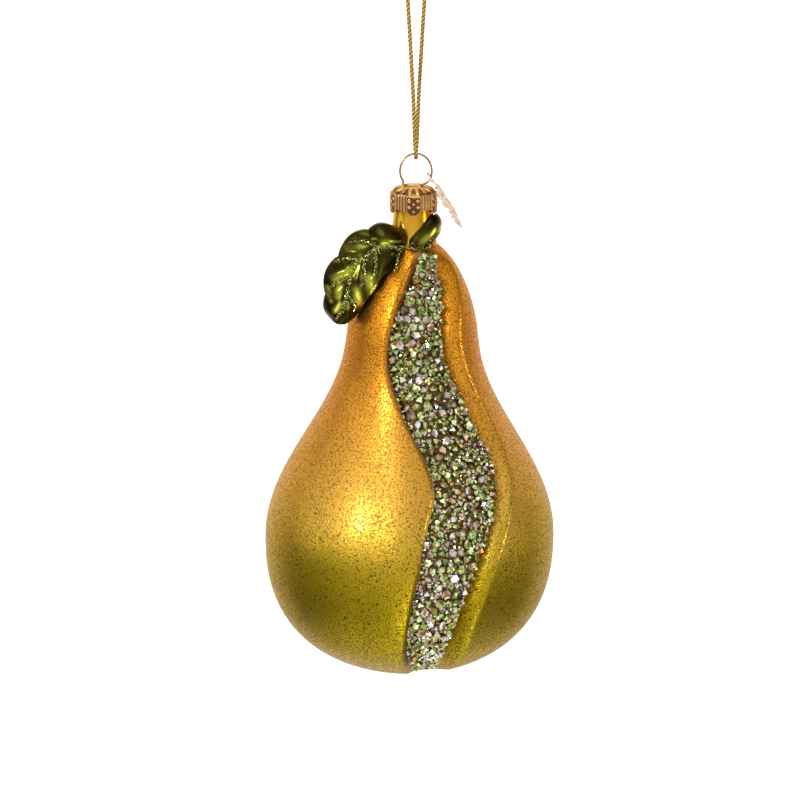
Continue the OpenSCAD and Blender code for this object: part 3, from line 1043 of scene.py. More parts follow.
@dataclass
class Jewels:
    """The bed in the cleft and the stones that it holds."""

    form: PearForm
    bed_low_q: float = 3 / 9
    bed_high_q: float = 1.985
    bed_wide: float = 2.12
    crown: float = 0.36
    pavilion: float = 0.9
    table: float = 0.6
    # Way from which the facets are painted lit.
    painted_light_way: tuple[float, float, float] = (-0.35, -0.55, 0.75)
    # Colour and share of facets that carry a painted gold reflection.
    painted_glint_tone: str = "c08420"
    smoky_from: float = 0.88
    clear_split: float = 0.3
    filler_r: tuple[float, float] = (0.42, 0.92)
    filler_tries: int = 10000
    filler_gap: float = -0.5
    filler_span: tuple[float, float] = (-1.12, 1.06)
    filler_lift: tuple[float, float] = (0.3, 1.1)
    raised: tuple[float, float] = (0.1, 0.6)
    resized: tuple[float, float] = (0.9, 1.12)
    brightness: tuple[float, float] = (0.9, 1.5)
    facet_spread: float = 0.35
    jitter: float = 0.2
    tilt: float = 0.6
    turned: float = 0.4
    painted_glints: float = 0.14
    # Rows of (height in the part's frame, share of clear stones), and below of (height, painted brightness
    # that lights the lower stones more).
    clear_share: Table = ((-202, 0.62), (-180, 0.52), (-160, 0.28), (-90, 0.12))
    painted_light_by_height: Table = ((-202, 1.6), (-180, 1.3), (-160, 1.0), (-90, 0.8))
    seed: int = 19

    def _bed_point(self, across: float, along: float, share: float) -> Vector:
        """Gives a point of the bed.

        Args:
            across: Share across the bed, from the left.
            along: Share up the bed.
            share: Share of its thickness above the floor.

        Returns:
            The point in the part's frame.
        """
        f, q = self.form, self.bed_low_q + (self.bed_high_q - self.bed_low_q) * along
        d = f.beside_gap(f.outline(q)[1], f.reach(q)["floor_left"] * (1 - self.bed_wide * across))
        return f.skin(q, d, f.floor_h(q) + share * f.bed_h * f.bed_run(q))

    def bed(self) -> bpy.types.Object:
        """Makes the bed.

        Returns:
            The piece.
        """
        bm = slab(24, 160, partial(self._bed_point, share=0.1), partial(self._bed_point, share=1.0))
        return piece(bm, "jewel_bed", Glue().material(), "pear", ["crystal_bed"])

    @staticmethod
    def _set_in(node: str) -> list[Stone]:
        """Reads the stones of one node.

        Args:
            node: Name of the node.

        Returns:
            Its stones.
        """
        bm = bmesh.new()
        bm.from_mesh(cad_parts[node].data)
        bmesh.ops.remove_doubles(bm, verts=bm.verts, dist=2e-6)
        left, stones = dict.fromkeys(bm.verts), []
        while left:
            grow, island = [left.popitem()[0]], []
            while grow:
                v = grow.pop()
                island.append(v)
                near = [w for w in (e.other_vert(v) for e in v.link_edges) if w in left]
                for w in near:
                    del left[w]
                grow.extend(near)
            spots = np.array([v.co for v in island])
            spread = spots - spots.mean(0)
            axis = np.linalg.eigh(spread.T @ spread)[1][:, 0]
            run = spread @ axis
            axis, run = (-axis, -run) if abs(run.max()) > abs(run.min()) else (axis, run)
            off = spread - np.outer(run, axis)
            radius = float(np.linalg.norm(off, axis=1).max())
            tip = spots[int(run.argmin())]
            stones.append(Stone(Vector(tip + axis * 0.85 * radius), Vector(axis), radius))
        bm.free()
        return sorted(stones, key=lambda s: (s.middle.z, s.middle.x))

    def _by_hand(self, stone: Stone, draw: random.Random) -> Stone:
        """Sets a stone a little off its place, as a hand does.

        Args:
            stone: The stone in its place.
            draw: Source of the changes.

        Returns:
            The stone as set.
        """
        f, spot = self.form, stone.middle / MM
        z = spot.z - f.base_z
        r, mid = f.body_r(z), Vector((f.axis_at(z), 0, 0))
        d = (math.atan2(spot.x - mid.x, -spot.y) - f.band_angle(r, z)) * r
        spot = Matrix.Rotation((f.beside_gap(z, d) - d) / r, 3, "Z") @ (spot - mid) + mid
        nudge = Vector([draw.gauss(0, self.jitter) for _ in range(3)])
        shift = nudge + stone.axis * draw.uniform(*self.raised)
        axis = self._tilted(stone.axis, draw)
        return Stone((spot + shift) * MM, axis, stone.radius * draw.uniform(*self.resized))

    def _tilted(self, up: Vector, draw: random.Random) -> Vector:
        """Tilts a stone's axis by chance and turns some stones point outwards."""
        axis = (up + Vector([draw.gauss(0, self.tilt) for _ in range(3)])).normalized()
        return -axis if draw.random() < self.turned else axis

    def _fillers(self, held: Sequence[Stone], draw: random.Random) -> list[Stone]:
        """Finds room for small stones between the large ones.

        Args:
            held: Stones that are there.
            draw: Source of the places.

        Returns:
            The small stones.
        """
        spots = [(s.middle, s.radius) for s in held]
        found = []
        for _ in range(self.filler_tries):
            q = draw.uniform(self.bed_low_q + 0.04, self.bed_high_q - 0.03)
            z = self.form.outline(q)[1]
            d = self.form.beside_gap(z, draw.uniform(*self.filler_span) * self.form.band_w(z))
            r = draw.uniform(*self.filler_r) * MM
            level = self.form.floor_h(q) + self.form.bed_h * self.form.bed_run(q)
            level += draw.uniform(*self.filler_lift)
            p = self.form.skin(q, d, level) * MM
            if all((p - m).length > r + s + self.filler_gap * MM for m, s in spots):
                up = (p - self.form.skin(q, d, level - 4) * MM).normalized()
                found.append(Stone(p, self._tilted(up, draw), r))
                spots.append((p, r))
        return found

    def _cut(
        self,
        bm: bmesh.types.BMesh,
        stone: Stone,
        tints: Sequence[Sequence[float]],
        draw: random.Random,
        split: float,
    ) -> None:
        """Adds one cut stone.

        Args:
            bm: Mesh to add to.
            stone: The stone.
            tints: Dark, middle and bright tint of its colour, which paint its facets' shade and highlights.
            draw: Source of the facets' tints.
            split: Share of the stones whose table is cut into facets.
        """
        layer = bm.loops.layers.float_color["facet"]
        spin = Quaternion((0, 0, 1), draw.uniform(0, math.pi))
        turn = Vector((0, 0, 1)).rotation_difference(stone.axis) @ spin
        r, deep = stone.radius, self.crown * stone.radius
        lay = Matrix.Translation(stone.middle) @ turn.to_matrix().to_4x4()
        before = set(bm.faces)
        bmesh.ops.create_cone(
            bm, cap_ends=True, segments=6, radius1=r, radius2=self.table * r, depth=deep,
            matrix=lay @ Matrix.Translation((0, 0, deep / 2)),
        )
        made = [f for f in bm.faces if f not in before]
        ends = [f for f in made if len(f.verts) == 6]
        girdle, table = sorted(ends, key=lambda f: f.calc_center_median().dot(stone.axis))
        bmesh.ops.triangulate(bm, faces=[f for f in made if len(f.verts) == 4])
        if draw.random() < split:
            bmesh.ops.poke(bm, faces=[table])
        point = bmesh.ops.poke(bm, faces=[girdle])["verts"]
        bmesh.ops.translate(bm, verts=point, vec=-stone.axis * self.pavilion * r)
        # Painted light: facets that face the painted light's way, and stones lower down, are painted
        # brighter.
        base = draw.uniform(*self.brightness) * curve(stone.middle.z / MM, self.painted_light_by_height)
        way = (Vector(self.painted_light_way) + Vector([draw.gauss(0, 0.5) for _ in range(3)])).normalized()
        for f in (f for f in bm.faces if f not in before):
            f.normal_update()
            out = f.normal * (1 if f.normal.dot(f.calc_center_median() - stone.middle) > 0 else -1)
            chance = draw.uniform(-self.facet_spread, self.facet_spread)
            k = min(1.0, max(0.0, 0.5 + 0.5 * out.dot(way) + chance))
            a, b = (tints[0], tints[1]) if k < 0.5 else (tints[1], tints[2])
            t = smooth(smooth(k / 0.5 if k < 0.5 else k / 0.5 - 1))
            tone = [base * (x + (y - x) * t) for x, y in zip(a[:3], b[:3])]
            # Painted reflection of the gold bed on some facets.
            if draw.random() < self.painted_glints:
                tone = srgb(self.painted_glint_tone)[:3]
            for loop in f.loops:
                loop[layer] = (*tone, 1.0)

    def stones(self) -> list[bpy.types.Object]:
        """Cuts all the stones.

        Returns:
            One piece for each colour.
        """
        draw = random.Random(self.seed)
        held = {c: [self._by_hand(s, draw) for s in self._set_in(c.value[0])] for c in StoneColour}
        small = self._fillers([s for row in held.values() for s in row], draw)
        for stone in small:
            k, clear = draw.random(), curve(stone.middle.z / MM, self.clear_share)
            other = StoneColour.SMOKY if k > self.smoky_from else StoneColour.GREEN
            held[StoneColour.CLEAR if k < clear else other].append(stone)
        made = []
        for colour, row in held.items():
            node, slot, codes = colour.value
            bm = bmesh.new()
            bm.loops.layers.float_color.new("facet")
            split = self.clear_split if colour is StoneColour.CLEAR else 1.0
            for stone in row:
                self._cut(bm, stone, [srgb(c) for c in codes], draw, split)
            bmesh.ops.recalc_face_normals(bm, faces=bm.faces)
            finish = Jewel(f"{slot}_glass").material()
            name = f"{colour.name.lower()}_stones"
            made.append(piece(bm, name, finish, "pear", [node], Shading.FACETED))
        return made


@dataclass
class Stem:
    """The gold stem with the neck inside the cap."""

    form: PearForm
    height: float = 13.8
    neck_r: float = 4.95
    bore_r: float = 3.9
    lip: float = 0.4
    taper_h: float = 4.6

    def build(self) -> bpy.types.Object:
        """Makes the stem.

        Returns:
            The piece.
        """
        f = self.form
        rim = [(f.stem_r(h * 0.25), h * 0.25) for h in range(13)]
        drop = f.stem_d / 2 - self.neck_r
        rim += [(f.stem_d / 2 - drop * smooth(k / 12), self.taper_h + 0.4 * k) for k in range(13)]
        rim += [(self.neck_r, self.height - self.lip), (self.neck_r - self.lip, self.height)]
        rim += [(self.bore_r, self.height), (self.bore_r, 0.0)]
        bm = bmesh.new()
        spots = [bm.verts.new(Vector((f.axis_x + r, 0, f.foot_z + h)) * MM) for r, h in rim]
        edges = [bm.edges.new(pair) for pair in zip(spots, spots[1:] + spots[:1])]
        bmesh.ops.spin(
            bm, geom=spots + edges, cent=Vector((f.axis_x, 0, 0)) * MM, axis=(0, 0, 1),
            angle=2 * math.pi, steps=64, use_merge=True,
        )
        close_up(bm)
        finish = Lacquer("stem_gold", "f0ae28", "ffd450", 120.0, 0.92, 0.15).material()
        return piece(bm, "stem", finish, "pear", ["stem_neck"])


@dataclass
class Leaves:
    """The two lacquered leaves with their glitter veins."""

    form: PearForm
    # Lines and painted highlights lie in the leaf's face and start from the foot of the stem.
    inner: Sequence[tuple[float, float]] = (
        (-2, 0), (-3.2, -3.4), (-6.5, -8.4), (-8.6, -11), (-10.7, -13.4), (-13.2, -16.2), (-15.8, -18.5),
    )
    outer: Sequence[tuple[float, float]] = (
        (-3.6, 5.6), (-9, 6.9), (-14.9, 5), (-19.9, -0.4), (-22.8, -7), (-22.9, -14), (-21, -18.3),
    )
    front: Table = ((0, 6.8), (0.25, 9.4), (0.6, 11), (1, 9.6))
    thick: float = 5.0
    edge: float = 0.35
    curl: float = 2.6
    seat: float = 0.1
    lobes: int = 4
    lobe_cut: float = 0.16
    groove: float = 1.0
    groove_w: float = 1.3
    veins: Sequence[Sequence[tuple[float, float]]] = (
        (
            (-2.2, 0.4), (-5.4, 1.7), (-8.3, 1.8), (-11.2, 0.4), (-13.7, -1.8), (-15.7, -5.6), (-17.3, -12.6),
            (-19.3, -16.9),
        ),
        ((-8.3, 1.8), (-12.0, 3.0), (-15.7, 3.1)),
        ((-13.4, -1.2), (-16.2, -1.0), (-19.4, -2.2)),
        ((-15.7, -5.6), (-17.8, -6.2), (-20.3, -7.8)),
        ((-9.3, 1.4), (-9.6, -2.0), (-9.9, -5.4)),
        ((-12.7, -0.8), (-12.2, -3.8), (-12.1, -7.0)),
        ((-3.4, 0.4), (-3.9, -1.6), (-4.6, -4.2)),
        ((-16.6, -9.6), (-15.0, -12.4), (-14.6, -14.6)),
    )
    # Painted lime highlights, in rows of (x, z, x, z, width, share of lime).
    painted_highlights: Sequence[tuple[float, float, float, float, float, float]] = (
        (-19.7, -6.4, -14.4, -2.9, 0.9, 1.0), (-16.5, 1.6, -12.5, 1.9, 0.8, 0.25),
        (-16, -0.2, -10.2, 0.1, 0.7, 0.12), (-7.3, 2.5, -6.4, 2.7, 1.0, 0.9),
        (-11.1, -5.9, -10.2, -9.7, 1.2, 1.0), (-14.2, -8.8, -13.7, -12.7, 1.0, 0.9),
        (-18.5, -8.3, -19.1, -10.6, 0.8, 0.9), (-21.8, -8.6, -20.6, -11.8, 0.5, 0.8),
        (-18.3, -12.5, -19.7, -14.2, 0.7, 0.9), (-16.6, -12.6, -16.5, -13.4, 0.6, 0.7),
    )
    # Rows of (degrees round the stem, height above its foot).
    small_rib: Sequence[tuple[float, float]] = ((-100, 1.5), (-75, 2.3), (-40, 4.4), (-5, 5.6), (30, 6.2))
    small_w: float = 6.4
    small_t: float = 2.0
    lip_room: float = 1.3
    front_share: float = 0.9
    vein_step: float = 0.24
    small_grains: int = 150
    foot_grains: int = 46
    glitter_tints: Sequence[str] = ("8c9018", "c0cc48", "f0f8b0", "d8cc70")
    seed: int = 5

    def _stand_off(self, p: Vector, space: float) -> Vector:
        """Pushes a point out of the pear or stem.

        Args:
            p: Point in the part's frame.
            space: Least space to their surface.

        Returns:
            The point, moved where it was too near.
        """
        z = p.z - self.form.base_z
        mid = self.form.axis_at(min(self.form.height, z))
        r, need = math.hypot(p.x - mid, p.y), self.form.body_r(z) + self._lip(p, z) + space
        return Vector((mid + (p.x - mid) * need / r, p.y * need / r, p.z)) if r < need else p

    def _lip(self, p: Vector, z: float) -> float:
        """Gives how far the cleft's left lip stands out.

        Args:
            p: Point in the part's frame.
            z: Its height above the base.

        Returns:
            Distance off the plain outline.
        """
        f = self.form
        if z > f.height:
            return 0.0
        r, w = f.body_r(z), f.band_w(z)
        k = f.squeeze(r, w)
        d = (math.atan2(p.x - f.axis_at(z), -p.y) - f.band_angle(r, z)) * r
        rise = smooth((d / k + w + f.left_side + f.lip_fade) / f.lip_fade)
        return self.lip_room * f.left_lip * f.cleft_run(z) * rise

    def _to_vein(self, x: float, z: float) -> float:
        """Gives the distance to the nearest vein in the large leaf's face.

        Args:
            x: Distance to the right of the foot of the stem.
            z: Distance above it.

        Returns:
            The distance.
        """
        best = 99.0
        spot = np.array((x, z))
        for line in self.veins:
            pts = np.array(line, float)
            a, b = pts[:-1], pts[1:]
            t = np.clip(((spot - a) * (b - a)).sum(1) / ((b - a) ** 2).sum(1), 0, 1)
            best = min(best, float(np.linalg.norm(a + (b - a) * t[:, None] - spot, axis=1).min()))
        return best

    def _painted_highlight_share(self, p: Vector) -> float:
        """Gives the share of painted lime highlight at a point of the large leaf.

        Args:
            p: Point in millimetres from the foot of the stem.

        Returns:
            Share of lime.
        """
        most, spot = 0.0, p.xz
        for x0, z0, x1, z1, wide, much in self.painted_highlights:
            a, run = Vector((x0, z0)), Vector((x1 - x0, z1 - z0))
            t = max(0.0, min(1.0, (spot - a).dot(run) / run.length_squared))
            most = max(most, much * math.exp(-(((spot - a - run * t).length / wide) ** 2)))
        return most

    def _small_painted_highlight_share(self, p: Vector) -> float:
        """Gives the share of painted lime highlight along the small leaf's rib.

        Args:
            p: Point in millimetres from the foot of the stem.

        Returns:
            Share of lime.
        """
        turn = math.degrees(math.atan2(p.y, p.x))
        off = (p.z - curve(turn, self.small_rib)) / 0.9
        return math.exp(-off * off) * smooth((turn + 85) / 25) * smooth((5 - turn) / 25)

    def _large_point(self, across: float, u: float, side: int) -> Vector:
        """Gives a point of the large leaf.

        Args:
            across: Share across, from the inner edge.
            u: Share along the leaf.
            side: 1 for the front, -1 for the back.

        Returns:
            The point in the part's frame.
        """
        f, k, t = self.form, len(self.inner) - 1, 2 * across - 1
        a = through([Vector((*p, 0)) for p in self.inner], u * k)
        b = through([Vector((*p, 0)) for p in self.outer], u * k)
        cut = self.lobe_cut if t > 0 else self.lobe_cut / 2
        wave = 1 - cut * (1 - abs(math.sin(math.pi * self.lobes * u)) ** 0.8)
        c = (a + b) / 2 + t * wave * (b - a) / 2
        body = self.edge + (1 - self.edge) * (1 - abs(t) ** 3)
        end = min(1.0, 0.4 + 4 * min(u, 1 - u))
        deep = self.thick * body * (self.front_share if side > 0 else 1.0)
        if side > 0:
            deep -= 2 * self.groove * body * math.exp(-((self._to_vein(c.x, c.y) / self.groove_w) ** 2))
        y = self.curl * t * t - curve(u, self.front) - side * deep / 2 * end
        space = self.seat + (self.thick * self.edge if side > 0 else 0)
        return self._stand_off(Vector((f.axis_x + c.x, y, f.foot_z + c.y)), space)

    def _small_point(self, across: float, u: float, side: float) -> Vector:
        """Gives a point of the small leaf, which wraps the stem.

        Args:
            across: Share across.
            u: Share along its rib.
            side: 0 on the stem, 1 on the front.

        Returns:
            The point in the part's frame.
        """
        f, t = self.form, 2 * across - 1
        p = through([Vector((*r, 0)) for r in self.small_rib], u * (len(self.small_rib) - 1))
        w = self.small_w / 2 * math.sin(math.pi * min(0.97, 0.06 + 0.94 * u)) ** 0.7
        h = max(0.4, p.y + t * w)
        puff = (0.3 + 0.7 * (1 - t * t)) * (0.45 + 0.55 * math.sin(math.pi * u))
        r = f.stem_r(h) + self.seat + side * self.small_t * puff
        a = math.radians(p.x)
        spot = Vector((f.axis_x + r * math.cos(a), r * math.sin(a), f.foot_z + h))
        return self._stand_off(spot, self.seat + 0.5 * side)

    def _grains(self, spots: Iterable[tuple[Vector, float]], draw: random.Random) -> bmesh.types.BMesh:
        """Makes glitter grains.

        Args:
            spots: Rows of (place in metres, radius in metres).
            draw: Source of their turns and tints.

        Returns:
            The grains' mesh.
        """
        bm = bmesh.new()
        layer = bm.loops.layers.float_color.new("facet")
        tints = [srgb(code) for code in self.glitter_tints]
        for spot, r in spots:
            turn = Quaternion([draw.gauss(0, 1) for _ in range(4)]).normalized().to_matrix().to_4x4()
            lay = Matrix.Translation(spot) @ turn
            made = bmesh.ops.create_icosphere(bm, subdivisions=1, radius=r, matrix=lay)
            tone = draw.choice(tints)
            for f in dict.fromkeys(f for v in made["verts"] for f in v.link_faces):
                k = draw.uniform(0.5, 1.3)
                for loop in f.loops:
                    loop[layer] = (tone[0] * k, tone[1] * k, tone[2] * k, 1.0)
        return bm

    def _glitter(self, face: Sequence[Vector], draw: random.Random) -> list[tuple[Vector, float]]:
        """Scatters glitter along the veins, the small leaf's edge and the foot of the stem.

        Args:
            face: Points of the large leaf in metres.
            draw: Source of the places and sizes.

        Returns:
            Rows of (place in metres, radius in metres).
        """
        foot = Vector((self.form.axis_x, 0, self.form.foot_z))
        tree = KDTree(len(face))
        for k, p in enumerate(face):
            tree.insert(Vector((p.x, 0, p.z)), k)
        tree.balance()
        spots = []
        for line in self.veins:
            for p in evenly([foot + Vector((x, 0, z)) for x, z in line], self.vein_step):
                y = min(face[k].y for _, k, _ in tree.find_n(p * MM, 12))
                for _ in range(2):
                    off = Vector((draw.gauss(0, 0.25), draw.uniform(-0.3, -0.05), draw.gauss(0, 0.25)))
                    spots.append((Vector((p.x * MM, y, p.z * MM)) + off * MM, draw.uniform(0.12, 0.24) * MM))
        for _ in range(self.small_grains):
            u, t = draw.uniform(0.02, 0.8), -0.95 + abs(draw.gauss(0, 0.3))
            spots.append((self._small_point((t + 1) / 2, u, 1.06) * MM, draw.uniform(0.1, 0.2) * MM))
        for k in range(self.foot_grains):
            a = math.radians(-128 + 46 * k / (self.foot_grains - 1))
            h = 0.5 + abs(draw.gauss(0, 0.25))
            r = self.form.stem_r(h) + 0.12
            spot = foot + Vector((r * math.cos(a), r * math.sin(a), h))
            spots.append((spot * MM, draw.uniform(0.12, 0.24) * MM))
        return spots

    def build(self) -> list[bpy.types.Object]:
        """Makes both leaves and their glitter.

        Returns:
            The large leaf, the small leaf and the glitter.
        """
        green = Lacquer("leaf_lacquer", "1c1804", "504a08", 170.0, 0.88, 0.2, "d4d04c").material()
        large = slab(44, 84, partial(self._large_point, side=-1), partial(self._large_point, side=1))
        small = slab(16, 40, partial(self._small_point, side=0), partial(self._small_point, side=1))
        foot = Vector((self.form.axis_x, 0, self.form.foot_z))
        # Painted lime highlights, laid only on faces that look towards the camera.
        for bm, much in ((large, self._painted_highlight_share), (small, self._small_painted_highlight_share)):
            layer = bm.verts.layers.float.new("painted_highlight")
            bm.normal_update()
            for v in bm.verts:
                v[layer] = much(v.co / MM - foot) * smooth(-3 * v.normal.y)
        draw = random.Random(self.seed)
        spots = self._glitter([v.co.copy() for v in large.verts], draw)
        grains = self._grains(spots, draw)
        lime = Jewel("lime_glitter", 0.7).material()
        return [
            piece(large, "leaf_large", green, "pear", ["large_leaf"]),
            piece(small, "leaf_small", green, "pear", ["small_leaf"]),
            piece(grains, "leaf_glitter", lime, "pear", (), Shading.FACETED),
        ]


@dataclass
class Hanger:
    """The wire ring with its spring legs, and the stamped crown cap."""

    axis_x: float = -0.6
    ring_r: float = 4.0
    ring_z: float = -71.0
    ring_tall: float = 4.45
    wire_r: float = 0.28
    hole_x: float = 1.4
    leg_x: float = 3.35
    leg_h: float = 15.0
    cap_top: float = -75.3
    cap_h: float = 6.6
    cap_r: float = 5.4
    disc_r: float = 2.6
    shoulder_r: float = 5.1
    shoulder_h: float = 5.75
    side_h: float = 5.4
    sheet: float = 0.35
    panels: int = 5
    petals: int = 15
    bow: float = 0.4
    arch_r: float = 3.4
    arch_h: float = 1.4
    slot: tuple[float, float] = (1.5, 0.8)
    columns: int = 330
    rows: int = 90
    panel_share: float = 0.62
    panel_rim: float = 0.18
    flute: float = 0.32
    ray: float = 0.3
    # Rows of (degrees from the panel's middle, height above the edge, radius).
    beads: Sequence[tuple[float, float, float]] = (
        (-11, 3.95, 0.52), (11, 3.95, 0.52), (-11, 2.35, 0.52), (11, 2.35, 0.52), (0, 3.15, 0.4),
        (0, 1.2, 0.38),
    )

    def _leg(self, side: int) -> list[Vector]:
        """Gives the line of one leg from its end up through the cap.

        Args:
            side: 1 for the right leg, -1 for the left.

        Returns:
            Points in the part's frame.
        """
        line = (
            (self.leg_x, -self.leg_h),
            (self.hole_x + 0.55 * (self.leg_x - self.hole_x), -0.55 * self.leg_h),
            (self.hole_x, -1.05),
            (self.hole_x + 0.25, 0.05),
            (self.hole_x + 1.2, 0.42),
        )
        return [Vector((self.axis_x + side * x, 0, self.cap_top + h)) for x, h in line]

    def wire(self) -> bpy.types.Object:
        """Makes the wire.

        Returns:
            The piece.
        """
        arc = [math.radians(218 - 256 * k / 24) for k in range(25)]
        top = self.ring_z + self.ring_r
        ring = [Vector((self.ring_r * math.cos(a), 0, top + self.ring_tall * (math.sin(a) - 1))) for a in arc]
        bm = bmesh.new()
        sweep(bm, evenly(self._leg(-1) + ring + self._leg(1)[::-1], 0.3), self.wire_r, 10)
        close_up(bm)
        finish = Metal("hanger_brass", "c8a468", "4a3010", 0.18).material()
        return piece(bm, "wire_hanger", finish, "hanger", ["hanger_wire"])

    def _from_panel(self, turn: float) -> float:
        """Gives the angle from the middle of the nearest panel, in degrees."""
        pitch = 360 / self.panels
        return (turn + pitch / 2) % pitch - pitch / 2

    def _edge_h(self, a: float) -> float:
        """Gives the height of the arched lower edge at an angle from a panel's middle."""
        off = math.radians(180 / self.panels - abs(a)) * self.cap_r
        return max(0.0, self.arch_h - self.arch_r + math.sqrt(max(0.0, self.arch_r**2 - off**2)))

    def _side(self, turn: float, h: float) -> tuple[float, float]:
        """Gives the stamping of the cap's side.

        Args:
            turn: Angle round the cap in degrees, from the front.
            h: Height above the cap's lowest edge.

        Returns:
            How far the sheet stands out in millimetres, and its share of patina.
        """
        a = self._from_panel(turn)
        half = self.panel_share * 180 / self.panels
        if abs(a) < half:
            room = min(math.radians(half - abs(a)) * self.cap_r, self.side_h - h, h - self._edge_h(a) + 0.25)
            rim = math.exp(-(((room - 0.3) / 0.22) ** 2))
            return self.bow * smooth(room / 0.4) + self.panel_rim * rim, 0.85 * (1 - rim)
        t = (abs(a) - half) / (180 / self.panels - half)
        ridge = abs(math.sin(1.5 * math.pi * t))
        return self.flute * ridge * smooth((self.side_h - h) / 0.5), 0.95 * (1 - ridge) ** 2.2

    def _top(self, turn: float, r: float) -> tuple[float, float]:
        """Gives the stamping of the cap's top.

        Args:
            turn: Angle round the cap in degrees, from the front.
            r: Distance from the axis.

        Returns:
            How far the sheet stands up in millimetres, and its share of patina, which in the slot is painted
            shade.
        """
        if r < self.disc_r:
            x, y = r * math.sin(math.radians(turn)), -r * math.cos(math.radians(turn))
            # Painted shade: the sunk slot is painted fully dark.
            sunk = smooth((self.slot[0] - abs(x)) / 0.3) * smooth((self.slot[1] - abs(y + 0.7)) / 0.2)
            return -0.6 * sunk, sunk
        t = (r - self.disc_r) / (self.shoulder_r - self.disc_r)
        saw = abs((turn * self.petals / 360) % 1 * 2 - 1)
        ridge = smooth((1.25 * (1 - 0.55 * t) - saw) * 2.2)
        return (self.ray * ridge - 0.12) * smooth(t * 5) * smooth((1.05 - t) * 5), 0.8 * (1 - ridge)

    def _cap_point(self, across: float, along: float) -> Vector:
        """Gives a point of the cap's sheet.

        Args:
            across: Share of a turn round the cap, from the front.
            along: Share of the way from the middle of its top to its edge.

        Returns:
            The point in the part's frame.
        """
        turn = 360 * across
        edge = self._edge_h(self._from_panel(turn))
        line = [
            (0.0, self.cap_h), (self.disc_r, self.cap_h), (self.shoulder_r, self.shoulder_h),
            (self.cap_r, self.side_h), (self.cap_r, edge),
        ]
        lengths = [math.dist(p, q) for p, q in zip(line, line[1:])]
        run = along * sum(lengths)
        k = 0
        while k < 3 and run > lengths[k]:
            run -= lengths[k]
            k += 1
        t = run / lengths[k]
        r, h = (line[k][i] + (line[k + 1][i] - line[k][i]) * t for i in (0, 1))
        if k < 2:
            h += self._top(turn, r)[0]
        elif k == 3:
            r += self._side(turn, h)[0]
        spin = math.radians(turn - 90)
        return Vector((self.axis_x + r * math.cos(spin), r * math.sin(spin), self.cap_top - self.cap_h + h))

    def _patina(self, spot: Vector) -> float:
        """Gives the share of patina at a point of the sheet.

        Args:
            spot: Point in the part's frame, in millimetres.

        Returns:
            0 on bright metal and 1 in a dark hollow, where the slot's dark is painted shade and the rest
            patina.
        """
        x, y, h = spot.x - self.axis_x, spot.y, spot.z - self.cap_top + self.cap_h
        turn, r = math.degrees(math.atan2(x, -y)), math.hypot(x, y)
        if h > self.side_h:
            return self._top(turn, r)[1]
        return self._side(turn, h)[1] if r > self.cap_r - 0.1 else 0.9

    def _studs(self, bm: bmesh.types.BMesh) -> None:
        """Adds the dimpled beads and the drop of each flower panel.

        Args:
            bm: Mesh to add to.
        """
        stand, low = self.cap_r + self.bow - 0.1, self.cap_top - self.cap_h
        for p in range(self.panels):
            mid = 360 / self.panels * p - 90
            for turn, h, r in self.beads:
                a = math.radians(mid + turn)
                out = Vector((math.cos(a), math.sin(a), 0))
                spot = Vector((self.axis_x, 0, low + h)) + out * stand
                facing = Vector((0, 0, 1)).rotation_difference(out).to_matrix().to_4x4()
                lay = Matrix.Translation(spot * MM) @ facing
                made = bmesh.ops.create_uvsphere(bm, u_segments=14, v_segments=10, radius=r * MM, matrix=lay)
                tip = max(made["verts"], key=lambda v: v.co.dot(out))
                dimple = {tip} | {e.other_vert(tip) for e in tip.link_edges}
                bmesh.ops.translate(bm, verts=list(dimple), vec=-out * r * 0.6 * MM)

    def cap(self) -> bpy.types.Object:
        """Makes the cap.

        Returns:
            The piece.
        """
        bm = bmesh.new()
        layer = bm.verts.layers.float.new("hollow")
        wrapped(bm, self.columns, self.rows, self._cap_point)
        close_up(bm)
        for v in bm.verts:
            v[layer] = self._patina(v.co / MM)
        bmesh.ops.solidify(bm, geom=bm.faces[:], thickness=self.sheet * MM)
        self._studs(bm)
        finish = Metal("cap_rose_gold", "ffc67e", "401c04", 0.1, True).material()
        return piece(bm, "crown_cap", finish, "hanger", ["cap"])


@dataclass
class Charm:
    """The thin jagged charm on the ring."""

    bevel: float = 0.09

    def build(self) -> bpy.types.Object:
        """Softens the plate's edges and gives it a finish.

        Returns:
            The piece.
        """
        bm = bmesh.new()
        bm.from_mesh(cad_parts["hang_tag"].data)
        bmesh.ops.remove_doubles(bm, verts=bm.verts, dist=1e-6)
        bmesh.ops.dissolve_limit(bm, angle_limit=0.02, verts=bm.verts, edges=bm.edges)
        sharp = [e for e in bm.edges if len(e.link_faces) == 2 and e.calc_face_angle(0.0) > 0.9]
        bmesh.ops.bevel(
            bm, geom=sharp, offset=self.bevel * MM, affect="EDGES", segments=2, profile=0.5, material=-1,
            offset_type="OFFSET", clamp_overlap=True,
        )
        finish = Metal("charm_rose_gold", "fff4f0", "e0b4a0", 0.3).material()
        return piece(bm, "charm", finish, "charm", ["hang_tag"], Shading.FACETED)


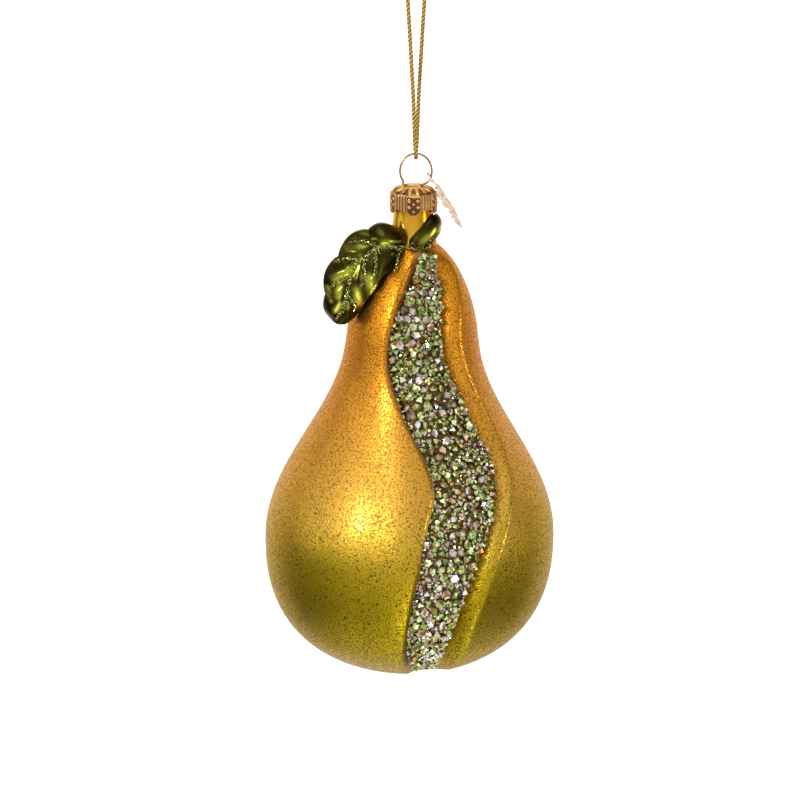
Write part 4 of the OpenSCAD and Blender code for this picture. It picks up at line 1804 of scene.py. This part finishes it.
@dataclass
class Cord:
    """The twisted cord with the knot that closes its loop."""

    diameter: float = 1.1
    plies: int = 3
    lay_pitch: float = 3.3
    half: Sequence[tuple[float, float, float]] = (
        (-0.8, 0, 0.6), (-2.2, 0, 0.1), (-3.2, 0, -1.6), (-3.5, 0, -4.5), (-3.3, -0.1, -10),
        (-2.8, -0.3, -18), (-2.2, -0.5, -26), (-1.7, -0.8, -34), (-1.2, -1.2, -43), (-0.7, -1.6, -52),
        (-0.4, -1.9, -60), (-0.2, -2, -65), (0, -1.5, -67.3),
    )
    bight: tuple[float, float, float] = (0, 0, -68)
    step: float = 0.24
    ply_fit: float = 1.04
    # Where the painted shade between the plies begins, and how far it fades.
    painted_shade_from: float = 0.8
    painted_shade_run: float = 0.14
    knot_wrap: float = 0.75
    knot_pitch: float = 0.8
    tail_lean: float = 14.0
    tail_run: Sequence[float] = (0.8, 3.5, 6.0, 7.8)
    tail_flare: float = 0.35

    def _route(self) -> list[Vector]:
        """Gives the route of the loop in millimetres."""
        down = [Vector(p) for p in self.half]
        return down + [Vector(self.bight)] + [Vector((-p.x, -p.y, p.z)) for p in reversed(down)]

    def _twisted(self, bm: bmesh.types.BMesh, path: Sequence[Vector], flare: float = 0.0) -> None:
        """Lays twisted plies along a line.

        Args:
            bm: Mesh to add to.
            path: Evenly spaced points in millimetres.
            flare: How far the plies spread at the far end.
        """
        axes = frames_along(path)
        step = (path[1] - path[0]).length
        ply_r = self.diameter / 2 / (1 + 2 / math.sqrt(3)) * self.ply_fit
        for k in range(self.plies):
            line = []
            for i, (p, (_, side, other)) in enumerate(zip(path, axes)):
                a = 2 * math.pi * (i * step / self.lay_pitch + k / self.plies)
                out = self.diameter / 2 - ply_r + flare * smooth((i / len(path) - 0.7) / 0.3)
                line.append(p + out * (math.cos(a) * side + math.sin(a) * other))
            sweep(bm, line, ply_r, 9)
        tree = KDTree(len(path))
        for i, p in enumerate(path):
            tree.insert(p * MM, i)
        tree.balance()
        # Painted shade: points that lie deep between the plies are marked for darkening.
        layer = bm.verts.layers.float.get("hollow") or bm.verts.layers.float.new("hollow")
        for v in bm.verts:
            off = tree.find(v.co)[2] / (self.diameter / 2 * MM)
            v[layer] = min(v[layer] or 1.0, 1 - smooth((off - self.painted_shade_from) / self.painted_shade_run))

    def build(self) -> list[bpy.types.Object]:
        """Makes the cord and its knot.

        Returns:
            The cord and the knot.
        """
        finish = Thread().material()
        path = evenly(self._route(), self.step)
        bm = bmesh.new()
        self._twisted(bm, path)
        close_up(bm, 1e-7)
        cord = piece(bm, "cord_loop", finish, "cord", ["hanging_cord"])
        bm = bmesh.new()
        mid, wrap, pitch = (self.diameter * k for k in (0.5, self.knot_wrap, self.knot_pitch))
        turns = [2 * math.pi * k / 12 for k in range(-18, 19)]
        coil = [
            Vector((pitch * a / (2 * math.pi), wrap * math.sin(a), mid + wrap * math.cos(a))) for a in turns
        ]
        self._twisted(bm, evenly(coil, 0.3))
        for s in (-1, 1):
            lean = math.radians(self.tail_lean) * s
            way = Vector((math.sin(lean), 0, math.cos(lean)))
            ends = [Vector((0, 0, mid)) + t * way for t in self.tail_run]
            self._twisted(bm, evenly(ends, 0.3), self.tail_flare)
        close_up(bm, 1e-7)
        knot = piece(bm, "knot", finish, "cord", ["cord_knot"])
        return [cord, knot]


@dataclass(frozen=True)
class Lamp:
    """One soft box: where it stands, how large and how bright it is."""

    name: str
    azimuth: float
    elevation: float
    distance: float
    size: float
    power: float


@dataclass
class Studio:
    """Camera, floor and soft light."""

    target: tuple[float, float, float] = (0.0, 0.0, -0.140)
    elevation: float = 17.0
    distance: float = 1.1
    pixels_per_radian: float = 4288.0
    frame_px: float = 800.0
    sensor: float = 36.0
    aim_px: tuple[float, float] = (415.7, 431.0)
    floor_z: float = -0.42
    # Rows of (y of the direction, light, warmth), and below of (z of the direction, light).
    round_light: Sequence[tuple[float, float, float]] = (
        (-1.0, 0.72, 0.0), (-0.7, 0.46, 0.0), (-0.1, 0.13, 0.0), (0.3, 0.07, 0.6), (0.62, 0.8, 1.0),
        (1.0, 1.0, 0.9),
    )
    upright_light: Table = ((-1.0, 1.2), (-0.85, 0.6), (-0.62, 0.0), (0.5, 0.0), (1.0, 0.32))
    lamps: Sequence[Lamp] = (
        Lamp("key", -42, 28, 0.8, 0.5, 0.25),
        Lamp("spark", -43, 22, 0.8, 0.12, 2.1),
        Lamp("side", -84, 18, 0.9, 0.85, 1.2),
        Lamp("fill", 75, 3, 0.9, 0.45, 1.8),
        Lamp("bounce", 12, -42, 0.9, 0.7, 1.5),
        Lamp("top", 10, 82, 0.7, 0.4, 0.9),
    )

    def _toward(self, azimuth: float, elevation: float) -> Vector:
        """Gives the direction from the ornament to a place round it."""
        a, e = math.radians(azimuth), math.radians(elevation)
        return Vector((math.sin(a) * math.cos(e), -math.cos(a) * math.cos(e), math.sin(e)))

    def camera(self) -> None:
        """Sets the camera up at the photograph's angle."""
        data = bpy.data.cameras.new("camera")
        data.sensor_width = self.sensor
        data.lens = self.sensor * self.pixels_per_radian / self.frame_px
        made = bpy.data.objects.new("camera", data)
        bpy.context.scene.collection.objects.link(made)
        back = self._toward(0, self.elevation)
        tilt = math.radians(self.elevation)
        right, up = Vector((1, 0, 0)), Vector((0, math.sin(tilt), math.cos(tilt)))
        made.location = Vector(self.target) + back * self.distance
        px = self.distance / self.pixels_per_radian
        half = self.frame_px / 2
        aim = Vector(self.target) + px * ((half - self.aim_px[0]) * right + (self.aim_px[1] - half) * up)
        made.rotation_euler = (aim - made.location).to_track_quat("-Z", "Y").to_euler()
        data.clip_start, data.clip_end = 0.01, 50.0
        bpy.context.scene.camera = made

    def light(self) -> None:
        """Sets the soft boxes and the even surroundings."""
        for lamp in self.lamps:
            data = bpy.data.lights.new(lamp.name, "AREA")
            data.shape, data.size, data.energy = "DISK", lamp.size, lamp.power
            made = bpy.data.objects.new(lamp.name, data)
            bpy.context.scene.collection.objects.link(made)
            way = self._toward(lamp.azimuth, lamp.elevation)
            made.location = Vector(self.target) + way * lamp.distance
            made.rotation_euler = way.to_track_quat("Z", "Y").to_euler()
        world = bpy.data.worlds.new("surroundings")
        world.use_nodes = True
        sky = Nodes(world.node_tree)
        round_about = sky.node("ShaderNodeTexCoord", output="Generated")
        way = sky.node("ShaderNodeSeparateXYZ", inputs={0: round_about})
        depth = way.also("Y") * 0.5 + 0.5
        warm = [((y + 1) / 2, (v, v * (1 - 0.15 * w), v * (1 - 0.4 * w), 1)) for y, v, w in self.round_light]
        upright = [((z + 1) / 2, (v, v, v, 1)) for z, v in self.upright_light]
        over = sky.ramp(way.also("Z") * 0.5 + 0.5, upright)
        light = sky.mix(1.0, sky.ramp(depth, warm), over, "ADD")
        sky.feed(sky.tree.nodes["Background"].inputs["Color"], light)
        bpy.context.scene.world = world
        bpy.context.scene.view_settings.view_transform = "Standard"

    def floor(self) -> None:
        """Lays a plain pale floor well below the ornament."""
        bm = bmesh.new()
        bmesh.ops.create_grid(bm, x_segments=4, y_segments=4, size=8.0)
        bmesh.ops.translate(bm, verts=bm.verts, vec=(0, 0, self.floor_z))
        data = bpy.data.meshes.new("floor")
        bm.to_mesh(data)
        bm.free()
        s = Shade("pale_floor")
        pale = s.ramp(s.noise(3.0), [(0, (0.93, 0.93, 0.93, 1)), (1, (0.96, 0.96, 0.96, 1))])
        s.set(Base_Color=pale, Roughness=0.9)
        s.set(Emission_Color=(1, 1, 1, 1), Emission_Strength=1.0)
        data.materials.append(s.material)
        made = bpy.data.objects.new("floor", data)
        bpy.context.scene.collection.objects.link(made)
        made.visible_glossy = made.visible_diffuse = False


def main() -> None:
    """Builds the studio and then each sub-assembly in order."""
    logging.basicConfig(level=logging.INFO, format="%(name)s %(message)s")
    studio = Studio()
    studio.camera()
    Cord().build()
    form = PearForm()
    hanger = Hanger()
    hanger.wire()
    hanger.cap()
    Charm().build()
    PearShell(form).build()
    Stem(form).build()
    Leaves(form).build()
    jewels = Jewels(form)
    jewels.bed()
    jewels.stones()
    studio.light()
    studio.floor()


if __name__ == "__main__":
    main()
